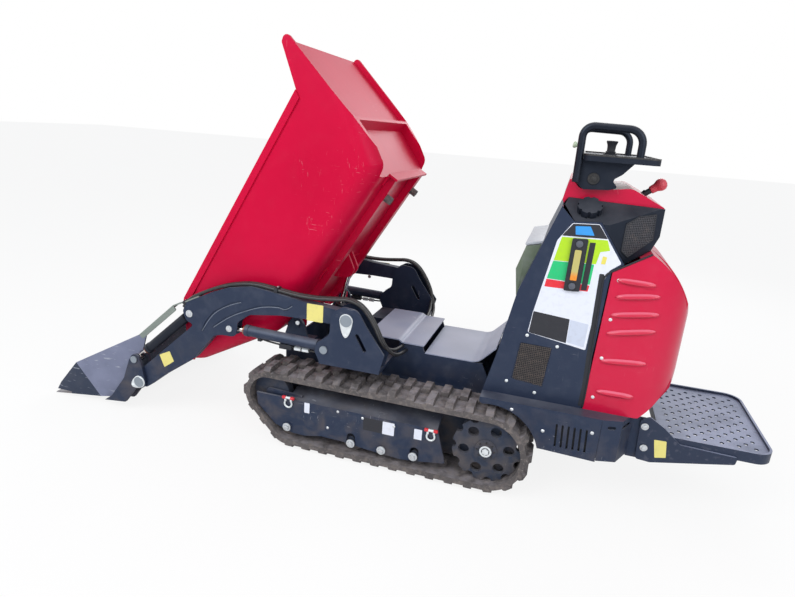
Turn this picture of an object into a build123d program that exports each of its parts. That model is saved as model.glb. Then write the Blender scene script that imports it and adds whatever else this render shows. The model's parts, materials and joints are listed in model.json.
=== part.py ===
from build123d import *
from math import acos, atan2, cos, degrees, hypot, pi, radians, sin
import os

# Tracked site dumper with a tipping skip, a self-loading shovel on two arms and a
# folding footboard. Millimetres. +X points ahead, +Y to the machine's left, +Z up.
# Most places are given as (ahead, up): ahead of the drive sprocket's axle, above ground.
# The model's origin is on the ground under the middle of the machine's length.

os.makedirs("parts", exist_ok=True)

# ---------------------------------------------------------------- driving sizes

# tracks and wheels
track_width = 180.0
track_outer_y = 397.5
belt_thick = 20.0
lug_height = 18.0
lug_pitch = 72.0
lug_foot = 38.0
lug_crown = 28.0
sprocket_r = 126.0
sprocket_teeth = 11
roller_r = 52.0
idler_r = 76.0
rear_roller_x = 260.0
mid_roller_x = 513.0
front_roller_x = 782.0
idler_x = 866.0
wheel_gap = 0.3

# track frames and main frame
track_plate = 8.0
track_plate_inset = 11.5
frame_half = 180.0
frame_plate = 10.0
fender_z = 361.0
fender_plate = 5.0
skirt_half = 360.0
skirt_plate = 5.0
arch_gap = 16.0

# loader
arm_to_skip = 20.0
arm_thick = 38.0
post_gap = 5.0
post_plate = 8.0
arm_pivot = (547.0, 578.0)
lift_base = (631.0, 451.0)
lift_eye = (1037.0, 460.0)
tilt_base = (1215.0, 493.0)
tilt_eye = (1486.0, 251.0)
shovel_pivot = (1468.0, 152.0)
pivot_pin_r = 15.0
cylinder_pin_r = 10.0
pin_head = 6.0
pin_clearance = 0.08

# shovel
shovel_past_arm = 2.0
shovel_wall = 6.0
shovel_tip_ahead = 471.0
bracket_plate = 10.0
bracket_gap = 2.0

# skip
skip_pivot = (820.0, 470.0)
skip_half = 330.0
skip_wall = 5.0
skip_tilt = 58.4
skip_corner_r = 70.0
skip_ear_y = 222.0
stand_ear_y = 238.0
ear_plate = 12.0
tip_base = (780.0, 287.0)
tip_eye_skip = (-228.0, -5.0)

# console
console_half = 300.0
console_wall = 5.0
cover_wall = 5.0
cowl_half = 205.0

# footboard
foot_hinge = (-522.0, 325.0)
foot_half = 252.0
foot_rear = 940.0
foot_top = 300.0
foot_rim = 38.0
foot_lip = 10.0
foot_sheet = 5.0

# ---------------------------------------------------------------- derived places

front_reach = shovel_pivot[0] + shovel_tip_ahead
axle_x = (foot_rear - front_reach) / 2
track_inner_y = track_outer_y - track_width
track_mid_y = track_outer_y - track_width / 2
roller_z = lug_height + belt_thick + roller_r
sprocket_z = lug_height + belt_thick + sprocket_r
idler_z = sprocket_z + sprocket_r - idler_r
plate_outer_y = track_outer_y - track_plate_inset
plate_inner_y = track_inner_y + track_plate_inset
arm_inner_y = skip_half + arm_to_skip
arm_outer_y = arm_inner_y + arm_thick
arm_mid_y = arm_outer_y - arm_thick / 2
shovel_half = arm_outer_y + shovel_past_arm


# ---------------------------------------------------------------- drawing helpers

def side(y):
    """Side-view plane at y: local x is ahead of the axle, local y is height."""
    return Plane(origin=(axle_x, y, 0), x_dir=(1, 0, 0), z_dir=(0, -1, 0))


def skip_side(y):
    """Side-view plane of the tipped skip, from its pivot along and above its floor."""
    tilt = radians(skip_tilt)
    origin = (axle_x + skip_pivot[0], y, skip_pivot[1])
    return Plane(origin=origin, x_dir=(cos(tilt), 0, -sin(tilt)), z_dir=(0, -1, 0))


def outline(plane, corners):
    """Face on a plane from corners given as (across, up, corner radius)."""
    with BuildSketch(plane) as sketch:
        with BuildLine():
            FilletPolyline(*[c[:2] for c in corners], radius=[c[2] for c in corners], close=True)
        make_face()
    return sketch.sketch


def disc(plane, centre, radius):
    """Round face on a plane."""
    with BuildSketch(plane) as sketch:
        with Locations(centre):
            Circle(radius)
    return sketch.sketch


def bar(centre, radius, y_left, y_right, mode=Mode.ADD):
    """Round bar across the machine from y_left down to y_right."""
    extrude(disc(side(y_left), centre, radius), amount=y_left - y_right, mode=mode)


def slab(corners, y_left, y_right, mode=Mode.ADD):
    """Prism with a side-view outline, from y_left down to y_right."""
    extrude(outline(side(y_left), corners), amount=y_left - y_right, mode=mode)


def block(x_rear, x_front, y_right, y_left, z_low, z_high, mode=Mode.ADD):
    """Box between two places ahead of the axle, two sides and two heights."""
    middle = (axle_x + (x_rear + x_front) / 2, (y_right + y_left) / 2, (z_low + z_high) / 2)
    with Locations(middle):
        Box(x_front - x_rear, y_left - y_right, z_high - z_low, mode=mode)


def bent_sheet(line, thick):
    """Corners of a sheet bent along an open line, its thickness to the line's left."""
    shifted = []
    for i, (across, up, radius) in enumerate(line):
        before = line[max(i - 1, 0)]
        here = line[i]
        after = line[min(i + 1, len(line) - 1)]
        into = atan2(here[1] - before[1], here[0] - before[0])
        out = atan2(after[1] - here[1], after[0] - here[0])
        if i == 0:
            into = out
        if i == len(line) - 1:
            out = into
        turn = atan2(sin(out - into), cos(out - into))
        reach = thick / cos(turn / 2)
        normal = into + turn / 2 + pi / 2
        inner_radius = 0 if radius == 0 else max(radius - thick if turn > 0 else radius + thick, 0)
        shifted.append((across + reach * cos(normal), up + reach * sin(normal), inner_radius))
    return list(line) + shifted[::-1]


def write(builder, label):
    """Label a finished piece and write it."""
    builder.part.label = label
    export_step(builder.part, f"parts/{label}.step")


def write_pair(left, stem):
    """Write a left-hand piece and its mirror image."""
    write(left, stem + "_left")
    with BuildPart() as right:
        mirror(left.part, about=Plane.XZ)
    write(right, stem + "_right")


def write_mirrored(left, label):
    """Write a left-hand piece and its mirror image as two solids of one node."""
    with BuildPart() as both:
        add(left.part)
        mirror(left.part, about=Plane.XZ)
    write(both, label)


# ---------------------------------------------------------------- tracks

# columns: ahead, up, radius of the wheels that the belt is wrapped round
wrap_wheels = [
    (0.0, sprocket_z, sprocket_r),
    (front_roller_x, roller_z, roller_r),
    (idler_x, idler_z, idler_r),
]


def run_normal(rear, front):
    """Angle of the outward normal of the straight run from one wheel to the next."""
    dx, dz = front[0] - rear[0], front[1] - rear[1]
    return atan2(dz, dx) - acos((rear[2] - front[2]) / hypot(dx, dz))


def belt_edges(offset):
    """Straight runs and arcs of the belt, offset outwards from the wheels' rims."""
    count = len(wrap_wheels)
    for i in range(count):
        here, ahead = wrap_wheels[i], wrap_wheels[(i + 1) % count]
        into = run_normal(wrap_wheels[i - 1], here)
        out = run_normal(here, ahead)
        while out < into:
            out += 2 * pi
        reach = here[2] + offset
        on_rim = [
            (here[0] + reach * cos(a), here[1] + reach * sin(a))
            for a in (into, (into + out) / 2, out)
        ]
        far = ahead[2] + offset
        ThreePointArc(*on_rim)
        Line(on_rim[2], (ahead[0] + far * cos(out), ahead[1] + far * sin(out)))


with BuildLine() as belt_back:
    belt_edges(belt_thick)
belt_wire = belt_back.wire()
lug_count = round(belt_wire.length / lug_pitch)


def lug_frame(wire, share):
    """A lug's foot on the belt, the way along the belt and the way out of it."""
    along = wire.tangent_at(share % 1.0)
    return wire.position_at(share % 1.0), along, Vector(along.Y, -along.X, 0)


def lug_outline(wire, share, low, high, foot_length, crown_length):
    """A lug's side view, from a low to a high place above the wire."""
    foot, along, out = lug_frame(wire, share)
    corners = [foot + out * low - along * foot_length / 2, foot + out * low + along * foot_length / 2,
               foot + out * high + along * crown_length / 2,
               foot + out * high - along * crown_length / 2]
    return Polygon(*[(c.X, c.Y) for c in corners], align=None)


lug_end_slope = 16.0
lug_end_drop = 12.0
guide_half = 12.0
guide_height = 18.0
guide_foot = 26.0
guide_crown = 17.0

with BuildLine() as belt_inside:
    belt_edges(0)
inside_wire = belt_inside.wire()

with BuildPart() as track:
    with BuildSketch(side(track_outer_y)):
        with BuildLine():
            belt_edges(belt_thick)
        make_face()
        with BuildLine():
            belt_edges(0)
        make_face(mode=Mode.SUBTRACT)
    extrude(amount=track_width)
    # two rows of lugs half a pitch apart, their outer ends sloped off
    for way, shift in ((1, 0.0), (-1, 0.5)):
        edge_y = track_mid_y + way * track_width / 2
        full_y = edge_y - way * lug_end_slope
        with BuildSketch(side(max(track_mid_y, full_y))):
            for i in range(lug_count):
                lug_outline(belt_wire, (i + shift) / lug_count, -belt_thick / 2, lug_height,
                            lug_foot, lug_crown)
        extrude(amount=abs(full_y - track_mid_y))
        for i in range(lug_count):
            with BuildSketch(side(full_y)):
                lug_outline(belt_wire, (i + shift) / lug_count, -belt_thick / 2, lug_height,
                            lug_foot, lug_crown)
            with BuildSketch(side(edge_y)):
                lug_outline(belt_wire, (i + shift) / lug_count, -belt_thick / 2,
                            lug_height - lug_end_drop, lug_foot, lug_crown)
            loft(ruled=True)
    # guide lugs on the inside, which run between the wheels' rims
    with BuildSketch(side(track_mid_y + guide_half)):
        for i in range(lug_count):
            lug_outline(inside_wire, i / lug_count, belt_thick / 2, -guide_height, guide_foot,
                        guide_crown)
    extrude(amount=2 * guide_half)
write_pair(track, "track")

# ---------------------------------------------------------------- sprockets and rollers

sprocket_face_y = 367.0
sprocket_disc = 18.0
sprocket_tip_r = sprocket_r - 1.5
sprocket_notch_r = 17.0
sprocket_hole_r = 20.0
sprocket_hole_circle = 82.0
sprocket_holes = 6
drum_r = 62.0
dish_r = 103.0
dish_back = 30.0
cap_r = 24.0
cap_ring_r = 40.0
drive_face_y = 246.0

with BuildPart() as sprocket:
    with BuildSketch(side(sprocket_face_y)):
        with Locations((0, sprocket_z)):
            Circle(sprocket_tip_r)
            with PolarLocations(sprocket_tip_r + 2, sprocket_teeth):
                Circle(sprocket_notch_r, mode=Mode.SUBTRACT)
            with PolarLocations(sprocket_hole_circle, sprocket_holes, start_angle=-9):
                Circle(sprocket_hole_r, mode=Mode.SUBTRACT)
    extrude(amount=sprocket_disc)
    bar((0, sprocket_z), cap_ring_r, sprocket_face_y + 5, sprocket_face_y)
    bar((0, sprocket_z), cap_r, sprocket_face_y + 12, sprocket_face_y)
    bar((0, sprocket_z), drum_r, sprocket_face_y, drive_face_y)
    bar((0, sprocket_z), dish_r, sprocket_face_y - dish_back, sprocket_face_y - dish_back - 10)
write_mirrored(sprocket, "sprockets")

wheel_inset = 20.0
wheel_rim = 36.0
hub_r = 30.0
axle_r = 14.0
yoke_gap = 2.0
yoke_plate = 8.0
wheel_outer_y = plate_outer_y - track_plate - wheel_inset
wheel_inner_y = plate_inner_y + track_plate + wheel_inset


def twin_wheel(centre, radius, axle_left, axle_right):
    """Track wheel of two rims on a hub, its axle running between what carries it."""
    bar(centre, radius - wheel_gap, wheel_outer_y, wheel_outer_y - wheel_rim)
    bar(centre, radius - wheel_gap, wheel_inner_y + wheel_rim, wheel_inner_y)
    bar(centre, hub_r, wheel_outer_y, wheel_inner_y)
    bar(centre, axle_r, axle_left - wheel_gap, axle_right + wheel_gap)


with BuildPart() as rollers:
    for x in (rear_roller_x, mid_roller_x, front_roller_x):
        twin_wheel((x, roller_z), roller_r, plate_outer_y - track_plate, plate_inner_y + track_plate)
    twin_wheel((idler_x, idler_z), idler_r, wheel_outer_y + yoke_gap, wheel_inner_y - yoke_gap)
write_mirrored(rollers, "rollers")

# ---------------------------------------------------------------- track frames

# columns: ahead, up, corner radius
track_frame_side = [
    (195, 213, 4), (141, 83, 6), (226, 70, 40), (310, 59, 30), (454, 68, 30), (539, 78, 20),
    (636, 80, 20), (707, 66, 20), (763, 68, 20), (836, 91, 12), (914, 165, 12), (924, 213, 6),
]
roof_rise = 30.0
arm_stations = [(190.0, 270.0), (640.0, 720.0)]
arm_low, arm_high = 150.0, 205.0

with BuildPart() as track_frame:
    with BuildSketch(Plane.YZ.offset(axle_x + 141)):
        with BuildLine():
            Polyline(
                (plate_outer_y, 50), (plate_outer_y, 213), (plate_inner_y, 213 + roof_rise),
                (plate_inner_y, 50), (plate_inner_y + track_plate, 50),
                (plate_inner_y + track_plate, 213 + roof_rise - track_plate - 2),
                (plate_outer_y - track_plate, 213 - track_plate + 1),
                (plate_outer_y - track_plate, 50), close=True,
            )
        make_face()
    extrude(amount=783)
    roofed = [(c[0], c[1] + (roof_rise + 20 if c[1] == 213 else 0), c[2]) for c in track_frame_side]
    slab(roofed, plate_outer_y, plate_inner_y, mode=Mode.INTERSECT)
    for slot_x, slot_z in [(rear_roller_x, roller_z), (mid_roller_x, roller_z)]:
        slab([(slot_x - 17, slot_z - 70, 0), (slot_x + 17, slot_z - 70, 0),
              (slot_x + 17, slot_z + 32, 16.9), (slot_x - 17, slot_z + 32, 16.9)],
             plate_outer_y, plate_inner_y, mode=Mode.SUBTRACT)
    bar((idler_x, idler_z), idler_r + 8, plate_outer_y - track_plate, plate_inner_y + track_plate,
        mode=Mode.SUBTRACT)
    for y_left in (wheel_outer_y + yoke_gap + yoke_plate, wheel_inner_y - yoke_gap):
        slab([(730, idler_z - 30, 0), (idler_x + 20, idler_z - 22, 18), (idler_x + 20, idler_z + 20, 18),
              (730, idler_z + 12, 0)], y_left, y_left - yoke_plate)
    for x_rear, x_front in arm_stations:
        block(x_rear, x_front, frame_half, plate_inner_y, arm_low, arm_high)
write_pair(track_frame, "track_frame")

# ---------------------------------------------------------------- main frame

post_foot_z = 393.0
deck_z = 415.0
hatch_z = 444.0
belly_z = 130.0
frame_front = 900.0
bumper_front = -372.0
bumper_rear = -478.0

rail_side = [
    (bumper_rear + skirt_plate, 215, 0), (bumper_rear + skirt_plate, fender_z, 0),
    (46, fender_z, 0), (72, deck_z, 0),
    (300, deck_z, 0), (312, hatch_z, 0), (404, hatch_z, 0), (410, post_foot_z, 0),
    (frame_front, post_foot_z, 20), (frame_front, 200, 20), (860, belly_z, 30),
    (-110, belly_z, 30), (-160, 215, 20),
]
with BuildPart() as frame_rail:
    slab(rail_side, frame_half, frame_half - frame_plate)
write_mirrored(frame_rail, "frame_rails")

with BuildPart() as final_drive:
    bar((0, sprocket_z), drum_r + 12, drive_face_y - wheel_gap, frame_half)
write_mirrored(final_drive, "final_drives")

inner_half = frame_half - frame_plate
ear_half = 16.0
with BuildPart() as crossmembers:
    block(-110, 850, -inner_half, inner_half, belly_z, belly_z + 8)
    for x_rear, x_front in arm_stations:
        block(x_rear, x_front, -inner_half, inner_half, arm_low, arm_high)
    block(frame_front - 40, frame_front - 32, -inner_half, inner_half, 190, post_foot_z)
    block(tip_base[0] - 60, tip_base[0] + 60, -inner_half, inner_half, 236, 248)
    for ear in (ear_half, -ear_half - ear_plate):
        slab([(tip_base[0] - 50, 244, 0), (tip_base[0] + 50, 244, 0),
              (tip_base[0] + 22, tip_base[1] + 22, 20), (tip_base[0] - 22, tip_base[1] + 22, 20)],
             ear + ear_plate, ear)
    bar(tip_base, cylinder_pin_r, ear_half + 1, -ear_half - 1)
write(crossmembers, "frame_crossmembers")

with BuildPart() as stand:
    stand_foot = post_foot_z + 12
    slab([(760, post_foot_z, 0), (880, post_foot_z, 0), (880, stand_foot, 0), (760, stand_foot, 0)],
         stand_ear_y + ear_plate, frame_half - frame_plate)
    slab([(764, stand_foot - 2, 0), (876, stand_foot - 2, 0), (skip_pivot[0] + 32, skip_pivot[1] + 8, 24),
          (skip_pivot[0] + 16, skip_pivot[1] + 29, 20), (skip_pivot[0] - 16, skip_pivot[1] + 29, 20),
          (skip_pivot[0] - 32, skip_pivot[1] + 8, 24)],
         stand_ear_y + ear_plate, stand_ear_y)
    bar(skip_pivot, pivot_pin_r, stand_ear_y + ear_plate + 6, skip_ear_y - ear_plate - 4)
write_mirrored(stand, "skip_stands")

# ---------------------------------------------------------------- fender, skirts, bumper

with BuildPart() as fender:
    with BuildSketch(Plane.XY.offset(fender_z)):
        with BuildLine():
            Polyline(
                (axle_x + 46, skirt_half), (axle_x + bumper_front, skirt_half),
                (axle_x + bumper_rear + 40, skirt_half - 18), (axle_x + bumper_rear, 262),
                (axle_x + bumper_rear, -262), (axle_x + bumper_rear + 40, 18 - skirt_half),
                (axle_x + bumper_front, -skirt_half), (axle_x + 46, -skirt_half), close=True,
            )
        make_face()
    extrude(amount=fender_plate)
write(fender, "fender_plate")

arch_r = sprocket_r + belt_thick + lug_height + arch_gap
skirt_front_z = fender_z - 12
with BuildPart() as skirt:
    slab([(46, fender_z, 0), (46, skirt_front_z, 0), (-150, 211, 0), (-196, 211, 6),
          (bumper_front + 1, 205, 0), (bumper_front + 1, fender_z, 0)],
         skirt_half, skirt_half - skirt_plate)
    bar((0, sprocket_z), arch_r, skirt_half, skirt_half - skirt_plate, mode=Mode.SUBTRACT)
    for i in range(6):
        slot_x = -232.0 - i * 20
        slab([(slot_x, 318, 0), (slot_x + 7, 318, 0), (slot_x + 3, 232, 0), (slot_x - 4, 232, 0)],
             skirt_half, skirt_half - skirt_plate, mode=Mode.SUBTRACT)
write_mirrored(skirt, "skirts")

with BuildPart() as bumper:
    with BuildSketch(Plane.XY.offset(210)):
        with BuildLine() as bent:
            Polyline(
                (axle_x + bumper_front, skirt_half), (axle_x + bumper_rear + 40, skirt_half - 18),
                (axle_x + bumper_rear, 262), (axle_x + bumper_rear, -262),
                (axle_x + bumper_rear + 40, 18 - skirt_half), (axle_x + bumper_front, -skirt_half),
                (axle_x + bumper_front, -skirt_half + skirt_plate),
                (axle_x + bumper_rear + 40 + 3, 18 - skirt_half + skirt_plate),
                (axle_x + bumper_rear + skirt_plate, -262 + 2),
                (axle_x + bumper_rear + skirt_plate, 262 - 2),
                (axle_x + bumper_rear + 40 + 3, skirt_half - 18 - skirt_plate),
                (axle_x + bumper_front, skirt_half - skirt_plate), close=True,
            )
        make_face()
    extrude(amount=fender_z - 210)
    # lashing slots in the corners
    for slot_x in (bumper_front - 34, bumper_front - 82):
        with BuildSketch(Plane(origin=(axle_x + slot_x, skirt_half, 338), x_dir=(1, 0, 0),
                               z_dir=(0, -1, 0))):
            SlotOverall(28, 13)
        extrude(amount=2 * skirt_half, mode=Mode.SUBTRACT)
write(bumper, "rear_bumper")

# ---------------------------------------------------------------- decks

with BuildPart() as deck:
    slab(bent_sheet([(298, deck_z, 0), (90, deck_z, 60), (24, deck_z + 70, 0)], -4),
         frame_half, -frame_half)
write(deck, "deck_sheet")

hatch_front = 540.0
with BuildPart() as hatch:
    slab(bent_sheet([(hatch_front, hatch_z + 10, 0), (404, hatch_z + 10, 20), (395, hatch_z, 20),
                     (304, hatch_z, 0)], -5), frame_half + 4, -frame_half - 4)
write(hatch, "hatch_cover")

# ---------------------------------------------------------------- loader posts

post_outer_y = arm_outer_y + post_gap + post_plate
post_inner_y = arm_inner_y - post_gap - post_plate
post_side = [
    (412, post_foot_z + 10, 0), (650, post_foot_z + 10, 0), (668, 440, 10), (660, 474, 16),
    (610, 512, 40), (607, 600, 40), (560, 628, 30), (505, 622, 40), (470, 566, 40), (396, 468, 10),
]
with BuildPart() as post:
    for y_left in (post_outer_y, post_inner_y + post_plate):
        slab(post_side, y_left, y_left - post_plate)
        slab([(514, 531, 7), (500, 536, 7), (462, 474, 7), (476, 468, 7)], y_left, y_left - post_plate,
             mode=Mode.SUBTRACT)
    slab([(412, post_foot_z, 0), (650, post_foot_z, 0), (650, post_foot_z + 12, 0),
          (412, post_foot_z + 12, 0)], post_outer_y, inner_half)
    bar(arm_pivot, pivot_pin_r, post_outer_y - 1, post_inner_y + 1)
    bar(lift_base, cylinder_pin_r, post_outer_y - 1, post_inner_y + 1)
    for pin, head_r in ((arm_pivot, pivot_pin_r + 7), (lift_base, cylinder_pin_r + 5)):
        bar(pin, head_r, post_outer_y + pin_head, post_outer_y - 1)
write_pair(post, "loader_post")

# ---------------------------------------------------------------- loader arms

# columns: ahead, up, corner radius
arm_side = [
    (547, 550, 24), (711, 553, 0), (815, 550, 60), (948, 531, 40), (1000, 492, 30), (1008, 430, 24),
    (1070, 428, 24), (1105, 420, 20), (1205, 302, 40), (1330, 216, 60), (1440, 128, 24),
    (1494, 128, 26), (1498, 178, 26), (1427, 241, 30), (1198, 449, 8), (1232, 462, 20), (1246, 500, 20),
    (1226, 539, 10),
    (1124, 591, 60), (1040, 625, 60), (937, 645, 80), (846, 635, 80), (718, 618, 60), (579, 608, 0),
    (547, 606, 27),
]
pocket_half = 13.0
groove_width = 9.0
groove_depth = 3.0
with BuildPart() as arm:
    slab(arm_side, arm_outer_y, arm_inner_y)
    # pocket for the lift cylinder's rod eye, open to the rear and below
    slab([(980, 410, 0), (1090, 410, 0), (1092, 470, 40), (1050, 516, 40), (980, 530, 20)],
         arm_mid_y + pocket_half, arm_mid_y - pocket_half, mode=Mode.SUBTRACT)
    # pocket for the tilt cylinder's barrel eye, open ahead
    slab([(1189, 490, 20), (1200, 462, 10), (1260, 400, 0), (1330, 420, 0), (1240, 550, 0), (1192, 521, 24)],
         arm_mid_y + pocket_half, arm_mid_y - pocket_half, mode=Mode.SUBTRACT)
    bar(tilt_base, cylinder_pin_r, arm_outer_y, arm_inner_y)
    bar(arm_pivot, pivot_pin_r + pin_clearance, arm_outer_y, arm_inner_y, mode=Mode.SUBTRACT)
    bar(shovel_pivot, pivot_pin_r + pin_clearance, arm_outer_y, arm_inner_y, mode=Mode.SUBTRACT)
    # grooves pressed into the elbow's outer side
    for groove in [
        [(1164, 431, 0), (1142, 474, 30), (1101, 525, 40), (1022, 570, 40), (984, 581, 0)],
        [(1111, 458, 0), (1055, 503, 40), (993, 538, 40), (902, 577, 40), (821, 588, 14), (796, 578, 14),
         (772, 600, 0)],
    ]:
        slab(bent_sheet(groove, groove_width), arm_outer_y, arm_outer_y - groove_depth,
             mode=Mode.SUBTRACT)
write_pair(arm, "loader_arm")

cross_tube = (1394.0, 200.0)
cross_tube_r = 26.0
with BuildPart() as tube:
    bar(cross_tube, cross_tube_r, arm_inner_y, -arm_inner_y)
write(tube, "arm_cross_tube")

guard_line = [(1170, 568.1, 0), (1232, 536.3, 20), (1288, 512, 20), (1462, 356, 0)]
guard_sheet = 5.0
with BuildPart() as guard:
    slab(bent_sheet(guard_line, guard_sheet), arm_outer_y - 2, arm_inner_y + 2)
    slab([(1292, 512, 0), (1462, 357, 0), (1449, 344, 6), (1279, 496, 6)],
         arm_outer_y - 2, arm_outer_y - 2 - guard_sheet)
write_mirrored(guard, "cylinder_guards")

# ---------------------------------------------------------------- hydraulic cylinders

# columns: name, base pin, rod eye, middle y, barrel radius, rod radius, barrel length,
#          length of rod hidden in the barrel, half width of the eyes
tip_a = radians(skip_tilt)
tip_eye = (
    skip_pivot[0] + tip_eye_skip[0] * cos(tip_a) + tip_eye_skip[1] * sin(tip_a),
    skip_pivot[1] - tip_eye_skip[0] * sin(tip_a) + tip_eye_skip[1] * cos(tip_a),
)
cylinders = [
    ("lift_cylinder", lift_base, lift_eye, arm_mid_y, 21.0, 10.0, 342.0, 290.0, 11.0),
    ("tilt_cylinder", tilt_base, tilt_eye, arm_mid_y, 20.0, 10.0, 296.0, 210.0, 11.0),
    ("tip_cylinder", tip_base, tip_eye, 0.0, 22.0, 10.0, 222.0, 52.0, 11.0),
]
barrel_base = 8.0
gland_length = 16.0
eye_r = 19.0
neck_length = 38.0

for name, base, eye, mid_y, barrel_r, rod_r, barrel_length, hidden, eye_half in cylinders:
    length = hypot(eye[0] - base[0], eye[1] - base[1])
    heading = degrees(atan2(eye[1] - base[1], eye[0] - base[0]))
    along = Plane(side(mid_y).from_local_coords(Vector(base[0], base[1], 0)),
                  x_dir=Vector(cos(radians(heading)), 0, sin(radians(heading))), z_dir=(0, -1, 0))
    with BuildPart() as barrel:
        with BuildSketch(along):
            with BuildLine():
                Polyline((neck_length, 0), (neck_length, barrel_r), (barrel_length - gland_length, barrel_r),
                         (barrel_length - gland_length, barrel_r + 2), (barrel_length, barrel_r + 2),
                         (barrel_length, rod_r + pin_clearance),
                         (neck_length + barrel_base, rod_r + pin_clearance),
                         (neck_length + barrel_base, 0), close=True)
            make_face()
        revolve(axis=Axis(along.origin, along.x_dir))
        with BuildSketch(along.offset(-eye_half)):
            Circle(eye_r)
            with Locations((neck_length / 2 + 2, 0)):
                Rectangle(neck_length + 4, 2 * eye_r - 8)
            Circle(cylinder_pin_r + pin_clearance, mode=Mode.SUBTRACT)
        extrude(amount=2 * eye_half)
    with BuildPart() as rod:
        with BuildSketch(along):
            with BuildLine():
                Polyline((barrel_length - hidden, 0), (barrel_length - hidden, rod_r),
                         (length - 14, rod_r), (length - 14, 0), close=True)
            make_face()
        revolve(axis=Axis(along.origin, along.x_dir))
        with BuildSketch(along.offset(-eye_half)):
            with Locations((length, 0)):
                Circle(eye_r - 1)
                Circle(cylinder_pin_r + 1, mode=Mode.SUBTRACT)
        extrude(amount=2 * eye_half)
    if mid_y > 0:
        write_mirrored(barrel, name + "_barrels")
        write_mirrored(rod, name + "_rods")
    else:
        write(barrel, name + "_barrel")
        write(rod, name + "_rod")

# ---------------------------------------------------------------- shovel

def from_pivot(pivot, corners):
    """Corners given from a pivot as corners given from the axle."""
    return [(pivot[0] + c[0], pivot[1] + c[1], c[2]) for c in corners]


lip_back = 90.0
tip_low = 1.0 - shovel_pivot[1]


def shovel_solid(inset, raise_top):
    """Solid of the shovel's outside, or its hollow when inset by the wall."""
    corners = from_pivot(shovel_pivot, [
        (shovel_tip_ahead + (60 if inset else 0), tip_low + inset + (-8 if inset else 0), 0),
        (shovel_tip_ahead - 36 + raise_top, tip_low + 58 + raise_top, 0),
        (338 + raise_top / 2, 20 + raise_top, 0),
        (8 + inset - raise_top * 0.35, 202 + raise_top, 0),
        (60 + inset, -40, 40 - inset),
        (107 + inset * 0.4, -104 + inset, 30 - inset),
    ])
    fold_top = Vector(axle_x + shovel_pivot[0] + 338, shovel_half - inset, shovel_pivot[1] + 20)
    fold_low = Vector(axle_x + shovel_pivot[0] + 213, shovel_half - inset, shovel_pivot[1] - 127)
    rear_top = Vector(axle_x + shovel_pivot[0] + 22, 330.0 - inset, shovel_pivot[1] + 180)
    outward = (fold_low - fold_top).cross(rear_top - fold_top)
    if outward.Y < 0:
        outward = -outward
    with BuildPart() as solid:
        slab(corners, shovel_half - inset, inset - shovel_half)
        split(bisect_by=Plane(origin=fold_top, z_dir=outward), keep=Keep.BOTTOM)
        mirrored = Vector(fold_top.X, -fold_top.Y, fold_top.Z)
        split(bisect_by=Plane(origin=mirrored, z_dir=Vector(outward.X, -outward.Y, outward.Z)),
              keep=Keep.BOTTOM)
    return solid.part


shovel_body = shovel_solid(0.0, 0.0)
with BuildPart() as shovel:
    add(shovel_body)
    add(shovel_solid(shovel_wall, 80.0), mode=Mode.SUBTRACT)
    block(front_reach - lip_back, front_reach + 10, -shovel_half, shovel_half, -5,
          22.0, mode=Mode.SUBTRACT)
write(shovel, "shovel_bucket")

with BuildPart() as lip:
    slab(from_pivot(shovel_pivot, [
        (shovel_tip_ahead, tip_low, 0), (shovel_tip_ahead - lip_back, tip_low + 12, 0),
        (shovel_tip_ahead - lip_back, tip_low + 21, 0), (shovel_tip_ahead - 10, tip_low + 9, 0)]),
        shovel_half, -shovel_half)
write(lip, "shovel_lip")

bracket_side = from_pivot(shovel_pivot, [
    (26, 122, 18), (-2, 118, 14), (-14, 80, 10), (-30, 0, 30), (-20, -26, 24), (20, -34, 20),
    (80, -112, 10), (190, -124, 0), (150, -95, 0), (80, 0, 0), (46, 90, 10),
])
bracket_outer_y = arm_outer_y + bracket_gap + bracket_plate
with BuildPart() as bracket:
    for y_left in (bracket_outer_y, arm_inner_y - bracket_gap):
        slab(bracket_side, y_left, y_left - bracket_plate)
    bar(shovel_pivot, pivot_pin_r, arm_outer_y + bracket_gap + 1, arm_inner_y - bracket_gap - 1)
    for pin, head_r in ((shovel_pivot, pivot_pin_r + 7), (tilt_eye, cylinder_pin_r + 5)):
        bar(pin, head_r, bracket_outer_y + pin_head, bracket_outer_y - 1)
    add(shovel_body, mode=Mode.SUBTRACT)
write_mirrored(bracket, "shovel_brackets")

# ---------------------------------------------------------------- skip

# columns: along the skip's floor from its pivot, above its pivot, corner radius
skip_side_outline = [
    (-691, 37, 40), (-740, 46, 40), (-766, 89, 0), (-812, 224, 0), (-900, 574, 16), (-862, 566, 12),
    (-764, 440, 0), (190, 424, 40), (404, 274, 0), (388, 232, 0), (56, 36, 120),
]
upper_recess = 24.0
lower_recess = 44.0
ledge_w = 224.0
ledge_thick = 12.0
fin_thick = 12.0
corner_fin = 46.0
rim_strip = 6.0
rim_deep = 26.0


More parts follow.
